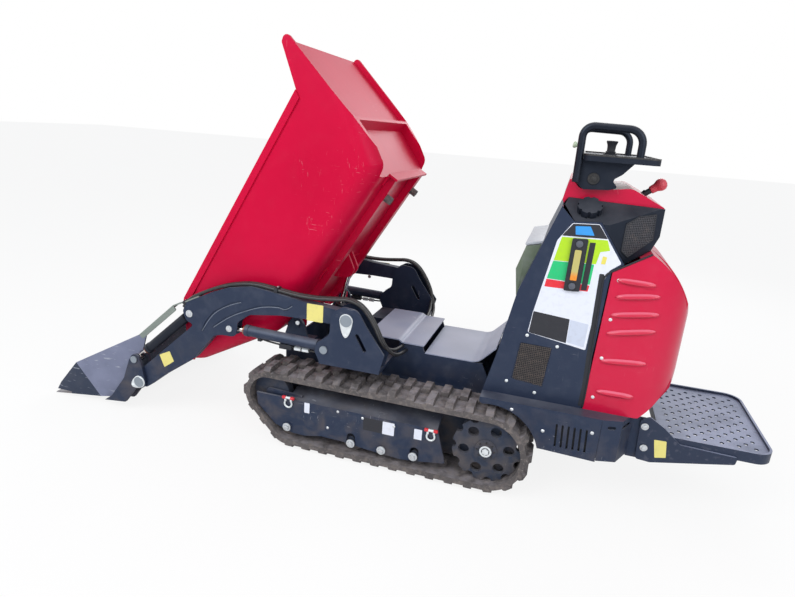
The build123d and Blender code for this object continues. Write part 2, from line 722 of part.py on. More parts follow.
def skip_hollow():
    """Load space of the skip, left open above its rim."""
    wall = skip_wall
    lower, upper = lower_recess + wall, upper_recess + wall
    corners = [
        (-691 + lower - 20, 37 + wall, 30), (-766 + lower + 6, 89 + wall, 30),
        (-812 + lower, ledge_w, 0), (-900 + lower, 574, 0), (-700, 700, 0), (420, 700, 0),
        (430, 260 + wall, 0), (388, 232 + wall, 0), (56 - 2, 36 + wall, 115),
    ]
    with BuildPart() as hollow:
        extrude(outline(skip_side(skip_half - wall), corners), amount=2 * (skip_half - wall))
        low = hollow.edges().filter_by(Axis.Y, reverse=True)
        sides = [e for e in low if abs(abs(e.center().Y) - (skip_half - wall)) < 0.1]
        floor = [e for e in sides
                 if skip_side(0).to_local_coords(e.center()).Y < 180
                 and skip_side(0).to_local_coords(e.center()).X > -740]
        fillet(floor, skip_corner_r - wall)
        extrude(outline(skip_side(skip_half - wall), [
            (-812 + upper, ledge_w + wall, 0), (-900 + upper, 574, 0), (-930 + upper, 700, 0),
            (-700, 700, 0), (-740, ledge_w + wall, 0)]), amount=2 * (skip_half - wall))
    return hollow.part


with BuildPart() as skip:
    extrude(outline(skip_side(skip_half), skip_side_outline), amount=2 * skip_half)
    sides = [e for e in skip.edges() if abs(abs(e.center().Y) - skip_half) < 0.1]
    floor = [e for e in sides
             if skip_side(0).to_local_coords(e.center()).Y < 180
             and skip_side(0).to_local_coords(e.center()).X > -760]
    fillet(floor, skip_corner_r)
    # recessed rear panels between the two side fins
    half = skip_half - fin_thick
    extrude(outline(skip_side(half), [
        (-812, ledge_w, 0), (-812 + upper_recess, ledge_w, 0), (-900 + upper_recess, 574, 0),
        (-960, 574, 0), (-960, ledge_w, 0)]), amount=2 * half, mode=Mode.SUBTRACT)
    half = skip_half - corner_fin
    extrude(outline(skip_side(half), [
        (-812 - 60, ledge_w - ledge_thick, 0), (-812 + lower_recess, ledge_w - ledge_thick, 0),
        (-717, 92, 0), (-694, 36, 0), (-694, 0, 0), (-872, 0, 0)]),
        amount=2 * half, mode=Mode.SUBTRACT)
    add(skip_hollow(), mode=Mode.SUBTRACT)
    # folded strip along the top of each side
    for y_left in (skip_half + rim_strip, -skip_half):
        extrude(outline(skip_side(y_left), [
            (-764, 440, 0), (190, 424, 40), (404, 274, 0), (404 - 15, 274 - 21, 0),
            (182, 424 - rim_deep, 40), (-750, 440 - rim_deep, 0)]), amount=rim_strip)
write(skip, "skip_tub")

rail_half = 150.0
rail_wide = 40.0
with BuildPart() as underframe:
    for y_left in (rail_half + rail_wide, -rail_half):
        extrude(outline(skip_side(y_left), [
            (-700, 36, 0), (-700, 6, 0), (40, 6, 0), (56, 36, 0)]), amount=rail_wide)
    for y_left in (skip_ear_y, -skip_ear_y + ear_plate):
        extrude(outline(skip_side(y_left), [
            (-60, 36, 0), (-30, -16, 20), (0, -32, 26), (30, -16, 24), (46, 36, 0)]),
            amount=ear_plate)
    for y_left in (ear_half + ear_plate, -ear_half):
        extrude(outline(skip_side(y_left), [
            (-290, 36, 0), (tip_eye_skip[0] - 20, tip_eye_skip[1] - 22, 20),
            (tip_eye_skip[0] + 20, tip_eye_skip[1] - 22, 20), (-166, 36, 0)]), amount=ear_plate)
    # rear end plate and the rubber buffers' seats
    extrude(outline(skip_side(rail_half + rail_wide + 20), [
        (-708, 35.7, 0), (-708, -2, 0), (-700, -2, 0), (-700, 35.7, 0)]),
        amount=2 * (rail_half + rail_wide + 20))
    for x_u in (-680, -230, 20):
        extrude(outline(skip_side(skip_ear_y), [
            (x_u - 20, 36, 0), (x_u - 20, 30, 0), (x_u + 20, 30, 0), (x_u + 20, 36, 0)]),
            amount=2 * skip_ear_y)
    for y_left in (skip_ear_y + 1, -skip_ear_y + ear_plate + 1):
        extrude(disc(skip_side(y_left), (0, 0), pivot_pin_r + pin_clearance), amount=ear_plate + 2,
                mode=Mode.SUBTRACT)
write(underframe, "skip_underframe")

buffer_place = (-619.0, rail_half + rail_wide / 2)
buffer_r = 15.0
buffer_long = 26.0
with BuildPart() as skip_buffer:
    tilt = radians(skip_tilt)
    seat = skip_side(buffer_place[1]).from_local_coords(Vector(buffer_place[0], 6, 0))
    with BuildSketch(Plane(origin=seat, x_dir=(0, 1, 0), z_dir=(-sin(tilt), 0, -cos(tilt)))):
        Circle(buffer_r)
    extrude(amount=buffer_long)
write_mirrored(skip_buffer, "skip_buffers")

# ---------------------------------------------------------------- console

# columns: ahead, up, corner radius
console_side = [
    (46, fender_z + fender_plate, 0), (9, 527, 40), (-3, 599, 60), (-31, 749, 100), (-135, 1050, 6),
    (-180, 1006, 0), (-263, 1012, 0), (-353, 886, 0), (-318, 862, 20),
    (-300, fender_z + fender_plate, 0),
]
grille_window = [(-63, 572, 8), (-174, 569, 8), (-160, 418, 8), (-49, 430, 8)]
grille_pitch = 18.5
grille_bar = 5.5
with BuildPart() as console_panel:
    slab(console_side, console_half, console_half - console_wall)
    slab(grille_window, console_half, console_half - 3, mode=Mode.SUBTRACT)
    with BuildSketch(side(console_half - 3)):
        with Locations((-111, 497)):
            with GridLocations(grille_pitch, grille_pitch, 5, 7):
                Rectangle(grille_pitch - grille_bar, grille_pitch - grille_bar)
    extrude(amount=console_wall, mode=Mode.SUBTRACT)
write_pair(console_panel, "console_side")

front_line = [(46, fender_z + fender_plate, 0), (9, 527, 40), (-3, 599, 60), (-31, 749, 100),
              (-135, 1050, 0)]
with BuildPart() as console_front:
    slab(bent_sheet(front_line, console_wall), console_half - console_wall,
         console_wall - console_half)
    block(-60, 80, -console_half, console_half, fender_z - 20, fender_z + fender_plate,
          mode=Mode.SUBTRACT)
write(console_front, "console_front")

# upper housing over the side panels: fuel tank shoulders and air intakes
cowl_side = [
    (-143, 1050, 0), (-181, 1006.5, 0), (-263.5, 1012.5, 0), (-353.5, 886.5, 0), (-318, 862, 0),
    (-320, 859, 0), (-433, 931, 10), (-452, 975, 6), (-452, 1064, 0), (-150, 1072, 0),
]
cowl_edge_z = 1006.0
cowl_top_z = 1075.0
with BuildPart() as cowl:
    slab(cowl_side, console_half, -console_half)
    with BuildSketch(Plane.YZ.offset(axle_x - 480)):
        with BuildLine():
            Polyline((console_half, 850), (console_half, cowl_edge_z), (cowl_half, cowl_top_z),
                     (-cowl_half, cowl_top_z), (-console_half, cowl_edge_z), (-console_half, 850),
                     close=True)
        make_face()
    extrude(amount=400, mode=Mode.INTERSECT)
    for sign in (1, -1):
        with BuildSketch(Plane.XY.offset(850)):
            with BuildLine():
                Polyline((axle_x - 285, sign * (console_half + 1)),
                         (axle_x - 460, sign * (cowl_half + 4)),
                         (axle_x - 460, sign * (console_half + 1)), close=True)
            make_face()
        extrude(amount=300, mode=Mode.SUBTRACT)
    block(-460, -436, 2 - cowl_half, cowl_half - 2, 980, cowl_top_z + 10, mode=Mode.SUBTRACT)
write(cowl, "console_cowl")

with BuildPart() as console_top:
    top_half = cowl_half - 2.3
    slab([(-137, 1052, 0), (-150, 1072.3, 0), (-436.3, 1064.7, 0), (-436.3, 980.3, 0),
          (-452, 980.3, 0), (-452, 1066, 10), (-344, 1118, 40), (-282, 1109, 30), (-181, 1103, 20),
          (-147, 1138, 6), (-131, 1062, 10)], top_half, -top_half)
write(console_top, "console_top")


cover_front_low = (-305.0, 366.0)
cover_front_top = (-322.0, 857.0)
cover_top = (-434.0, 928.0)
lobe_half = 152.0
lobe_corner_r = 140.0
rib_width = 13.0
rib_rise = 5.0


def cover_block(inset, y_left, y_right, bulge, tuck):
    """Part of the bulged rear cover between two sides, or its hollow when inset by the wall.

    bulge is the rearmost place of its curve, tuck where the curve meets the fender."""
    seam = 40.0 if inset else 0.0
    low = cover_front_low[1] - seam
    with BuildPart() as solid:
        with BuildSketch(side(y_left)):
            with BuildLine():
                Line((cover_front_low[0] + seam, low), (cover_front_top[0] + seam, cover_front_top[1]))
                Line((cover_front_top[0] + seam, cover_front_top[1]), cover_top)
                ThreePointArc(cover_top, (bulge[0] + 42, bulge[1] + 190), bulge)
                ThreePointArc(bulge, (bulge[0] + 15, bulge[1] - 110), (tuck, low))
                Line((tuck, low), (cover_front_low[0] + seam, low))
            make_face()
            if inset:
                offset(amount=-inset, kind=Kind.INTERSECTION)
        extrude(amount=y_left - y_right)
    return solid.part


def cover_solid(inset):
    """Two side lobes and the deeper middle lobe of the cover, or their hollow."""
    with BuildPart() as solid:
        add(cover_block(inset, console_half - inset, inset - console_half, (-592, 620), -486))
        # rounded corners in plan, up to the creases beside the middle lobe
        with BuildSketch(Plane.XY.offset(200)):
            with BuildLine():
                corner_x = axle_x - 592 + lobe_corner_r
                edge = console_half - inset
                rear = axle_x - 592 + inset
                Polyline((corner_x, edge), (axle_x - 200, edge), (axle_x - 200, -edge),
                         (corner_x, -edge))
                TangentArc((corner_x, -edge), (rear, -edge + lobe_corner_r - inset), tangent=(-1, 0))
                Line((rear, -edge + lobe_corner_r - inset), (rear, edge - lobe_corner_r + inset))
                TangentArc((rear, edge - lobe_corner_r + inset), (corner_x, edge), tangent=(0, 1))
            make_face()
        extrude(amount=900, mode=Mode.INTERSECT)
        lobe = lobe_half - inset
        with BuildPart(mode=Mode.PRIVATE) as middle:
            add(cover_block(inset, lobe, -lobe, (-621, 590), -552))
            with BuildSketch(Plane.XY.offset(200)):
                with BuildLine():
                    Polyline((axle_x - 200, lobe), (axle_x - 200, -lobe),
                             (axle_x - 592 + inset, -lobe))
                    ThreePointArc((axle_x - 592 + inset, -lobe), (axle_x - 621 + inset, 0),
                                  (axle_x - 592 + inset, lobe))
                    Line((axle_x - 592 + inset, lobe), (axle_x - 200, lobe))
                make_face()
            extrude(amount=900, mode=Mode.INTERSECT)
        add(middle.part)
    return solid.part


# columns: ahead and up of each rib's front end, then of its rear end
cover_ribs = [
    (-352, 832, -446, 828), (-354, 777, -444, 788), (-349, 714, -446, 730), (-348, 650, -446, 670),
    (-345, 552, -446, 558), (-350, 440, -440, 440),
]
with BuildPart() as cover:
    add(cover_solid(0.0))
    add(cover_solid(cover_wall), mode=Mode.SUBTRACT)
    # louvre ribs pressed outwards on both sides
    for front_x, front_z, rear_x, rear_z in cover_ribs:
        lean = degrees(atan2(front_z - rear_z, front_x - rear_x))
        middle = ((front_x + rear_x) / 2, (front_z + rear_z) / 2)
        long = hypot(front_x - rear_x, front_z - rear_z) + rib_width
        for y_left in (console_half + rib_rise, -console_half + 1):
            with BuildSketch(side(y_left)):
                with Locations(middle):
                    SlotOverall(long, rib_width, rotation=lean)
            extrude(amount=rib_rise + 1)
write(cover, "rear_cover")

with BuildPart() as engine:
    block(-480, -120, -190, 190, fender_z + fender_plate, 770)
write(engine, "engine_block")

with BuildPart() as front_box:
    slab([(-107, 970, 0), (-56, 956, 4), (-11, 824, 4), (-26, 738, 0)], 200, -200)
write(front_box, "document_box")

# ---------------------------------------------------------------- controls

tray_z = 1196.0
tray_half = 275.0
pedestal_half = 235.0
rail_tube_r = 12.0
with BuildPart() as pedestal:
    slab([(-192, 1104.2, 0), (-270, 1108.8, 0), (-297, 1118, 6), (-275, 1140, 10), (-304, 1160, 16),
          (-335, tray_z, 0), (-165, tray_z, 0), (-165, 1126, 0), (-180, 1111.5, 0)],
         pedestal_half, -pedestal_half)
write(pedestal, "control_pedestal")

with BuildPart() as tray:
    block(-408, -176.3, -tray_half, tray_half, tray_z, tray_z + 16)
    fillet(tray.edges().filter_by(Axis.Z), 30)
write(tray, "control_tray")

with BuildPart() as handrails:
    for hoop_y in (pedestal_half + rail_tube_r + 0.3, -pedestal_half - rail_tube_r - 0.3):
        with BuildLine(side(hoop_y)):
            FilletPolyline((-345, tray_z + 16), (-345, 1298), (-164, 1302), (-164, tray_z - 70),
                           radius=(45, 34))
        with BuildSketch(Plane(side(hoop_y).from_local_coords(Vector(-345, tray_z + 16, 0)),
                               z_dir=(0, 0, 1))):
            Circle(rail_tube_r)
        sweep()
write(handrails, "hand_rails")

with BuildPart() as joystick:
    with BuildSketch(Plane.XY.offset(tray_z + 16)):
        with Locations((axle_x - 268, 0)):
            Circle(20)
    extrude(amount=50)
write(joystick, "joystick")

cap_r_fuel = 39.0
shoulder_out = Vector(0, cowl_top_z - cowl_edge_z, console_half - cowl_half).normalized()
with BuildPart() as cap:
    shoulder_y = (console_half + cowl_half) / 2
    shoulder_z = (cowl_edge_z + cowl_top_z) / 2
    foot = Vector(axle_x - 221, shoulder_y, shoulder_z) + shoulder_out * 0.3
    with BuildSketch(Plane(origin=foot, z_dir=shoulder_out)):
        Circle(cap_r_fuel)
        with PolarLocations(cap_r_fuel, 8):
            Circle(5, mode=Mode.SUBTRACT)
    extrude(amount=24)
write(cap, "fuel_cap")

# ---------------------------------------------------------------- footboard

hinge_pin_r = 9.0
side_plate = 8.0
bracket_out = foot_half - 0.3
with BuildPart() as foot_bracket:
    slab([(bumper_rear, 196, 0), (bumper_rear, 352, 0), (-540, 352, 14), (-548, 196, 10)],
         bracket_out, bracket_out - side_plate)
    bar(foot_hinge, hinge_pin_r, foot_half + side_plate + 2, bracket_out - side_plate)
write_mirrored(foot_bracket, "footboard_brackets")

# columns: ahead, up, corner radius
foot_side = [
    (-505, 346, 12), (-535, 362, 10), (-585, 331, 0), (-645, 280, 10), (-826, 274, 6), (-822, 247, 8),
    (-560, 192, 10), (-512, 196, 10),
]
tread_front = 577.0
tread_corner_r = 60.0
tread_hole_r = 8.0
tread_pitch = (54.0, 50.0)


def tread_prism(inset, z_low, z_high, mode=Mode.ADD):
    """Prism with the tread's plan, drawn inside its edge by an inset."""
    half = foot_half - inset
    front = axle_x - tread_front - inset
    rear = axle_x - foot_rear + inset
    with BuildSketch(Plane.XY.offset(z_low)) as plan:
        with BuildLine():
            FilletPolyline((front, half), (rear, half), (rear, -half), (front, -half),
                           radius=(0, tread_corner_r - inset, tread_corner_r - inset, 0), close=True)
        make_face()
    extrude(plan.sketch, amount=z_high - z_low, mode=mode)


with BuildPart() as footboard:
    tread_prism(0, foot_top - foot_rim, foot_top)
    tread_prism(side_plate, foot_top - foot_rim, foot_top - foot_lip - foot_sheet, mode=Mode.SUBTRACT)
    tread_prism(side_plate, foot_top - foot_lip, foot_top, mode=Mode.SUBTRACT)
    # staggered holes through the tread
    for along, across in ((6, 9), (5, 8)):
        with BuildSketch(Plane.XY.offset(foot_top)):
            with Locations((axle_x - (tread_front + foot_rear) / 2, 0)):
                with GridLocations(tread_pitch[0], tread_pitch[1], along, across):
                    RegularPolygon(tread_hole_r, 6)
        extrude(amount=-foot_rim, mode=Mode.SUBTRACT)
    for y_left in (foot_half + side_plate, -foot_half):
        slab(foot_side, y_left, y_left - side_plate)
    bar(foot_hinge, hinge_pin_r + pin_clearance, foot_half + side_plate + 1,
        -foot_half - side_plate - 1, mode=Mode.SUBTRACT)
write(footboard, "footboard")
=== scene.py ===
# %% [markdown]
# # A tracked site dumper
# This lesson dresses the solid model of a small tracked dumper. It has a tipping
# skip, a shovel on two arms, a console that its driver stands behind, and a
# folding footboard. The solid model gives the faces that everything sits on. What
# is added here is paint, rubber, dust and the small fittings that are too fine for
# the solid model: bolts, pins, hoses, grilles and plates.

# %% The frame
import json
import math

import bmesh
import bpy
from mathutils import Euler, Matrix, Vector

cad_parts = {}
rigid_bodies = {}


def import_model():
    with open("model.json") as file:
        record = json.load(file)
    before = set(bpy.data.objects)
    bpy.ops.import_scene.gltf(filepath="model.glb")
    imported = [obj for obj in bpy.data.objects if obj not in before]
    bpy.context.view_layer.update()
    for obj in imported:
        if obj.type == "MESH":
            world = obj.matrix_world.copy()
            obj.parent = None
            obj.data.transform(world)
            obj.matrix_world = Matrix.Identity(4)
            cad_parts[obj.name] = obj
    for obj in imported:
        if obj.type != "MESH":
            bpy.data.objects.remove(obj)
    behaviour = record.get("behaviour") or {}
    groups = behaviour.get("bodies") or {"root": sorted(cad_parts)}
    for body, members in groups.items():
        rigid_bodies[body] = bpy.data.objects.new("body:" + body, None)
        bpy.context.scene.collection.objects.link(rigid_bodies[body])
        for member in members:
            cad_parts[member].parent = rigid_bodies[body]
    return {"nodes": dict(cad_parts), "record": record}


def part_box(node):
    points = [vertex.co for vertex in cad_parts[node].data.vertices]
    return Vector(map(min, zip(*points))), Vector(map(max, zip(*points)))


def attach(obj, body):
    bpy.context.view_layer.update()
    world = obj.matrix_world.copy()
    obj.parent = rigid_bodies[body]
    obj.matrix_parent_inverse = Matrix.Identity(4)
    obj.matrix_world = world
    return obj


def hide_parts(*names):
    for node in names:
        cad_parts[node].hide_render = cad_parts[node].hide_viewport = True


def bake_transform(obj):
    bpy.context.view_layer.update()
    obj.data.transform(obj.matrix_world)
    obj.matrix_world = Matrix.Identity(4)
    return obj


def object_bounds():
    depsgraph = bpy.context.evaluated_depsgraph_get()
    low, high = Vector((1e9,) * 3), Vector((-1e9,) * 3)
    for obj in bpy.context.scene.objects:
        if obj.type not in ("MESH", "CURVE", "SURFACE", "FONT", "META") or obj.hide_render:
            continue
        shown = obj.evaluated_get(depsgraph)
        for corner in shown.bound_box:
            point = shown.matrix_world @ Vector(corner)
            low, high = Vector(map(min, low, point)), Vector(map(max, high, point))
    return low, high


for left_over in list(bpy.data.objects):
    bpy.data.objects.remove(left_over)
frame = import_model()
nodes = frame["nodes"]
cad_low, cad_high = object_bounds()

# %% [markdown]
# ## The camera
# The machine is seen from its left and a little from behind and above, with a
# slight roll of the hand-held camera. Turning about the camera's own axis first,
# then down, then round, keeps the three angles independent of each other.

# %% Camera
def new_object(name, data):
    """Object that is in the scene from the start."""
    made = bpy.data.objects.new(name, data)
    bpy.context.collection.objects.link(made)
    return made


camera_data = bpy.data.cameras.new("scene_camera")
camera_data.sensor_width = 36
camera_data.lens = 25.65
camera_data.shift_x = -0.0094
camera_data.shift_y = 0.0054
camera = new_object("scene_camera", camera_data)
bpy.context.scene.camera = camera
camera_place = Vector((-0.6595, 2.196, 1.254))
roll, tilt, turn = math.radians(4.28), math.radians(72.86), math.radians(-164.62)
facing = Euler((tilt, 0, turn)).to_matrix() @ Matrix.Rotation(roll, 3, "Z")
camera.matrix_world = Matrix.Translation(camera_place) @ facing.to_4x4()
print("camera stands", round(camera_place.y - cad_high.y, 2), "m from the left side")

# %% [markdown]
# ## Nodes in short
# Light, floor and finishes are all small trees of shader nodes. These helpers keep
# each step of a tree to one line: a node with its values, math on two values, and
# a mix of two shaders, on a tree that is emptied first.

# %% Node helpers
def bare_tree(owner):
    """Node tree of a material or world, with nothing in it yet."""
    owner.use_nodes = True
    owner.node_tree.nodes.clear()
    return owner.node_tree


def set_values(node, **values):
    """Gives a node's sockets their values."""
    for socket, value in values.items():
        node.inputs[socket.replace("_", " ")].default_value = value


def add_node(tree, kind, **values):
    """Shader node of a kind, with the values of its sockets."""
    made = tree.nodes.new("ShaderNode" + kind)
    set_values(made, **values)
    return made


def add_math(tree, operation, first, second):
    """Math on a value and on a second one that may be a number, kept in 0..1."""
    made = add_node(tree, "Math")
    made.operation = operation
    made.use_clamp = True
    tree.links.new(first, made.inputs[0])
    if isinstance(second, float):
        made.inputs[1].default_value = second
    else:
        tree.links.new(second, made.inputs[1])
    return made.outputs[0]


def mix_shaders(tree, share, first, second, output):
    """Sends the mix of two shaders to an output socket."""
    mix = add_node(tree, "MixShader")
    for socket, source in zip(mix.inputs, (share, first.outputs[0], second.outputs[0])):
        tree.links.new(source, socket)
    tree.links.new(mix.outputs[0], output)


# %% [markdown]
# ## Light and floor
# Large soft lamps stand in for a studio. The floor and the world are pale, and the
# world shows white to the camera and to reflections, so that gloss paint and
# chrome have something bright to mirror without more light on the machine. The
# floor glows a little for the camera alone, which keeps it nearly white.

# %% Studio
scene = bpy.context.scene
scene.view_settings.view_transform = "Standard"


def area_lamp(name, place, size, power):
    """Square soft lamp that looks at the machine's middle."""
    data = bpy.data.lights.new(name, "AREA")
    data.size, data.energy = size, power
    lamp = new_object(name, data)
    lamp.location = place
    aim = (cad_low + cad_high) / 2 - Vector(place)
    lamp.rotation_euler = aim.to_track_quat("-Z", "Y").to_euler()


area_lamp("key_lamp", (1.6, 3.2, 3.4), 2.6, 105)
area_lamp("fill_lamp", (-2.8, 2.6, 2.2), 2.4, 45)
area_lamp("back_lamp", (-1.0, -3.2, 3.0), 2.4, 50)

scene.world = bpy.data.worlds.new("studio_world")
tree = bare_tree(scene.world)
ray = add_node(tree, "LightPath").outputs
mirrored = add_math(tree, "MAXIMUM", ray["Is Glossy Ray"], ray["Is Transmission Ray"])
mix_shaders(tree, add_math(tree, "MAXIMUM", ray["Is Camera Ray"], mirrored),
            add_node(tree, "Background", Color=(0.9, 0.94, 1.0, 1), Strength=0.62),
            add_node(tree, "Background", Color=(1, 1, 1, 1), Strength=1),
            add_node(tree, "OutputWorld").inputs["Surface"])
print("world nodes:", len(tree.nodes))

# %% Floor
floor_reach = 30
floor_glow = 0.86
floor_mesh = bpy.data.meshes.new("floor")
bm = bmesh.new()
bmesh.ops.create_grid(bm, x_segments=1, y_segments=1, size=floor_reach)
bm.to_mesh(floor_mesh)
bm.free()
floor = new_object("floor", floor_mesh)
floor_paint = bpy.data.materials.new("floor_white")
tree = bare_tree(floor_paint)
ray = add_node(tree, "LightPath").outputs
mix_shaders(tree, add_math(tree, "MULTIPLY", ray["Is Camera Ray"], floor_glow),
            add_node(tree, "BsdfDiffuse", Color=(0.88, 0.87, 0.86, 1)),
            add_node(tree, "Emission", Color=(1, 1, 1, 1)),
            add_node(tree, "OutputMaterial").inputs["Surface"])
floor_mesh.materials.append(floor_paint)
print("floor reaches", floor_reach, "m each way")

# %% [markdown]
# ## Finishes
# A site machine is never one clean colour. Each finish starts from its own colour,
# wanders towards a second shade, takes pale dust where it faces up, mud near the
# ground, and thin scratches. One helper lays these over each other with noise on
# Object coordinates, which stay with the piece when it moves.

# %% Finish helper
dust_colour = (0.38, 0.385, 0.43)
mud_colour = (0.16, 0.125, 0.095)
pin_steel = (0.24, 0.27, 0.3)
coat_roughness = 0.12
bump_strength = 0.6


class Finish:
    """Material whose sockets each take one layer after another."""

    def __init__(self, name, colour, roughness, metallic=0.0, coat=0.0, gleam=0.5,
                 tint=(1, 1, 1)):
        self.material = bpy.data.materials.new(name)
        self.material.use_nodes = True
        self.tree = self.material.node_tree
        self.shader = self.tree.nodes["Principled BSDF"]
        set_values(self.shader, Base_Color=(*colour, 1), Roughness=roughness,
                   Metallic=metallic, Coat_Weight=coat, Coat_Roughness=coat_roughness,
                   Specular_IOR_Level=gleam, Specular_Tint=(*tint, 1))
        self.place = add_node(self.tree, "TexCoord")
        self.running = {}

    def join(self, source, target):
        self.tree.links.new(source, target)

    def noise(self, scale, detail, stretch=(1, 1, 1), distortion=0.0):
        """Noise on Object coordinates, stretched along an axis if wanted."""
        mapping = add_node(self.tree, "Mapping", Scale=stretch)
        grain = add_node(self.tree, "TexNoise", Scale=scale, Detail=detail,
                         Distortion=distortion)
        self.join(self.place.outputs["Object"], mapping.inputs["Vector"])
        self.join(mapping.outputs["Vector"], grain.inputs["Vector"])
        return grain.outputs["Fac"]

    def ramp(self, value, low, high, to_low=0.0, to_high=1.0):
        """A value spread from the range low..high to another range, and clamped."""
        spread = add_node(self.tree, "MapRange", From_Min=low, From_Max=high, To_Min=to_low,
                          To_Max=to_high)
        self.join(value, spread.inputs["Value"])
        return spread.outputs["Result"]

    def times(self, first, second):
        """Product of a value and another value or number."""
        return add_math(self.tree, "MULTIPLY", first, second)

    def lay(self, share, colour, roughness=None):
        """Lays a second colour over the first where share is high."""
        self.lay_on("Base Color", share, (*colour, 1))
        if roughness is not None:
            self.lay_on("Roughness", share, roughness)

    def patches(self, scale, detail, low, high, share, colour, roughness=None, **noise):
        """Lays a colour in patches, where a noise goes from low to high."""
        self.lay(self.ramp(self.noise(scale, detail, **noise), low, high, 0, share), colour,
                 roughness)

    def lay_on(self, socket, share, value):
        """Mixes a value into what one of the shader's sockets takes so far."""
        mixer = add_node(self.tree, "Mix")
        mixer.data_type = "RGBA" if socket == "Base Color" else "FLOAT"
        self.join(share, mixer.inputs["Factor"])
        if socket in self.running:
            self.join(self.running[socket], mixer.inputs["A"])
        else:
            mixer.inputs["A"].default_value = self.shader.inputs[socket].default_value
        mixer.inputs["B"].default_value = value
        self.running[socket] = mixer.outputs["Result"]

    def along(self, source, axis):
        """One axis of the piece's own normal or of its place in metres."""
        parts = add_node(self.tree, "SeparateXYZ")
        self.join(self.place.outputs[source], parts.inputs[0])
        return parts.outputs[axis]

    def facing_up(self):
        """How far the surface faces up."""
        return self.along("Normal", "Z")

    def on_top(self, low, high, broken):
        """Share that is high where the surface faces up, broken by another value."""
        return self.times(self.ramp(self.facing_up(), low, high), broken)

    def raised(self, value, distance):
        """Bump from a value, over what is there already."""
        bump = add_node(self.tree, "Bump", Distance=distance, Strength=bump_strength)
        self.join(value, bump.inputs["Height"])
        if "Normal" in self.running:
            self.join(self.running["Normal"], bump.inputs["Normal"])
        self.running["Normal"] = bump.outputs["Normal"]

    def done(self):
        """The material, with what each socket took joined to the shader."""
        for socket, value in self.running.items():
            self.join(value, self.shader.inputs[socket])
        return self.material


# %% Worn paint
def used_paint(name, colour, shade, roughness, dust, mud=0.0, scratch=0.25, coat=0.0,
               scratch_colour=(0.45, 0.45, 0.47), grain=0.0, gleam=0.5, tint=(1, 1, 1),
               steel_beyond=None):
    """Paint or plastic with a second shade, dust, mud and scratches."""
    coatings = Finish(name, colour, roughness, coat=coat, gleam=gleam, tint=tint)
    coatings.patches(3.1, 5, 0.35, 0.7, 0.8, shade)
    film = coatings.on_top(0.15, 0.95, coatings.ramp(coatings.noise(9.0, 8), 0.34, 0.68, 0.25))
    coatings.lay(coatings.times(film, dust), dust_colour, 0.85)
    coatings.patches(22.0, 9, 0.5, 0.78, 0.14 * dust, dust_colour, 0.7)
    if mud:
        low_down = coatings.ramp(coatings.along("Object", "Z"), 0.42, 0.05)
        caked = coatings.ramp(coatings.noise(14.0, 10, distortion=0.4), 0.42, 0.66)
        coatings.lay(coatings.times(coatings.times(low_down, caked), mud), mud_colour, 0.95)
    if scratch:
        for stretch in ((1, 1, 9), (8, 1, 1.3)):
            fine = coatings.noise(26.0, 3, stretch=stretch, distortion=0.8)
            thin = coatings.times(coatings.ramp(fine, 0.68, 0.71),
                                  coatings.ramp(coatings.noise(4.3, 3), 0.53, 0.64))
            coatings.lay(coatings.times(thin, scratch), scratch_colour, 0.5)
    if steel_beyond:
        sideways = add_math(coatings.tree, "ABSOLUTE", coatings.along("Object", "Y"), 0.0)
        outer = coatings.ramp(sideways, steel_beyond, steel_beyond + 0.0002)
        coatings.lay(outer, pin_steel, 0.35)
    if grain:
        coatings.raised(coatings.noise(900.0, 2), grain)
    coatings.raised(coatings.noise(45.0, 3), 0.0004)
    return coatings.done()


# %% [markdown]
# ## Paint and plastic
# The machine has two colours: a dark blue-black on frame, arms and shovel, and a
# crimson on the skip, with matching moulded plastic on the rear cover. Black
# mouldings get a fine grain. The pins' heads are part of painted pieces in the
# solid model, so whatever stands that far out to the side turns to steel.

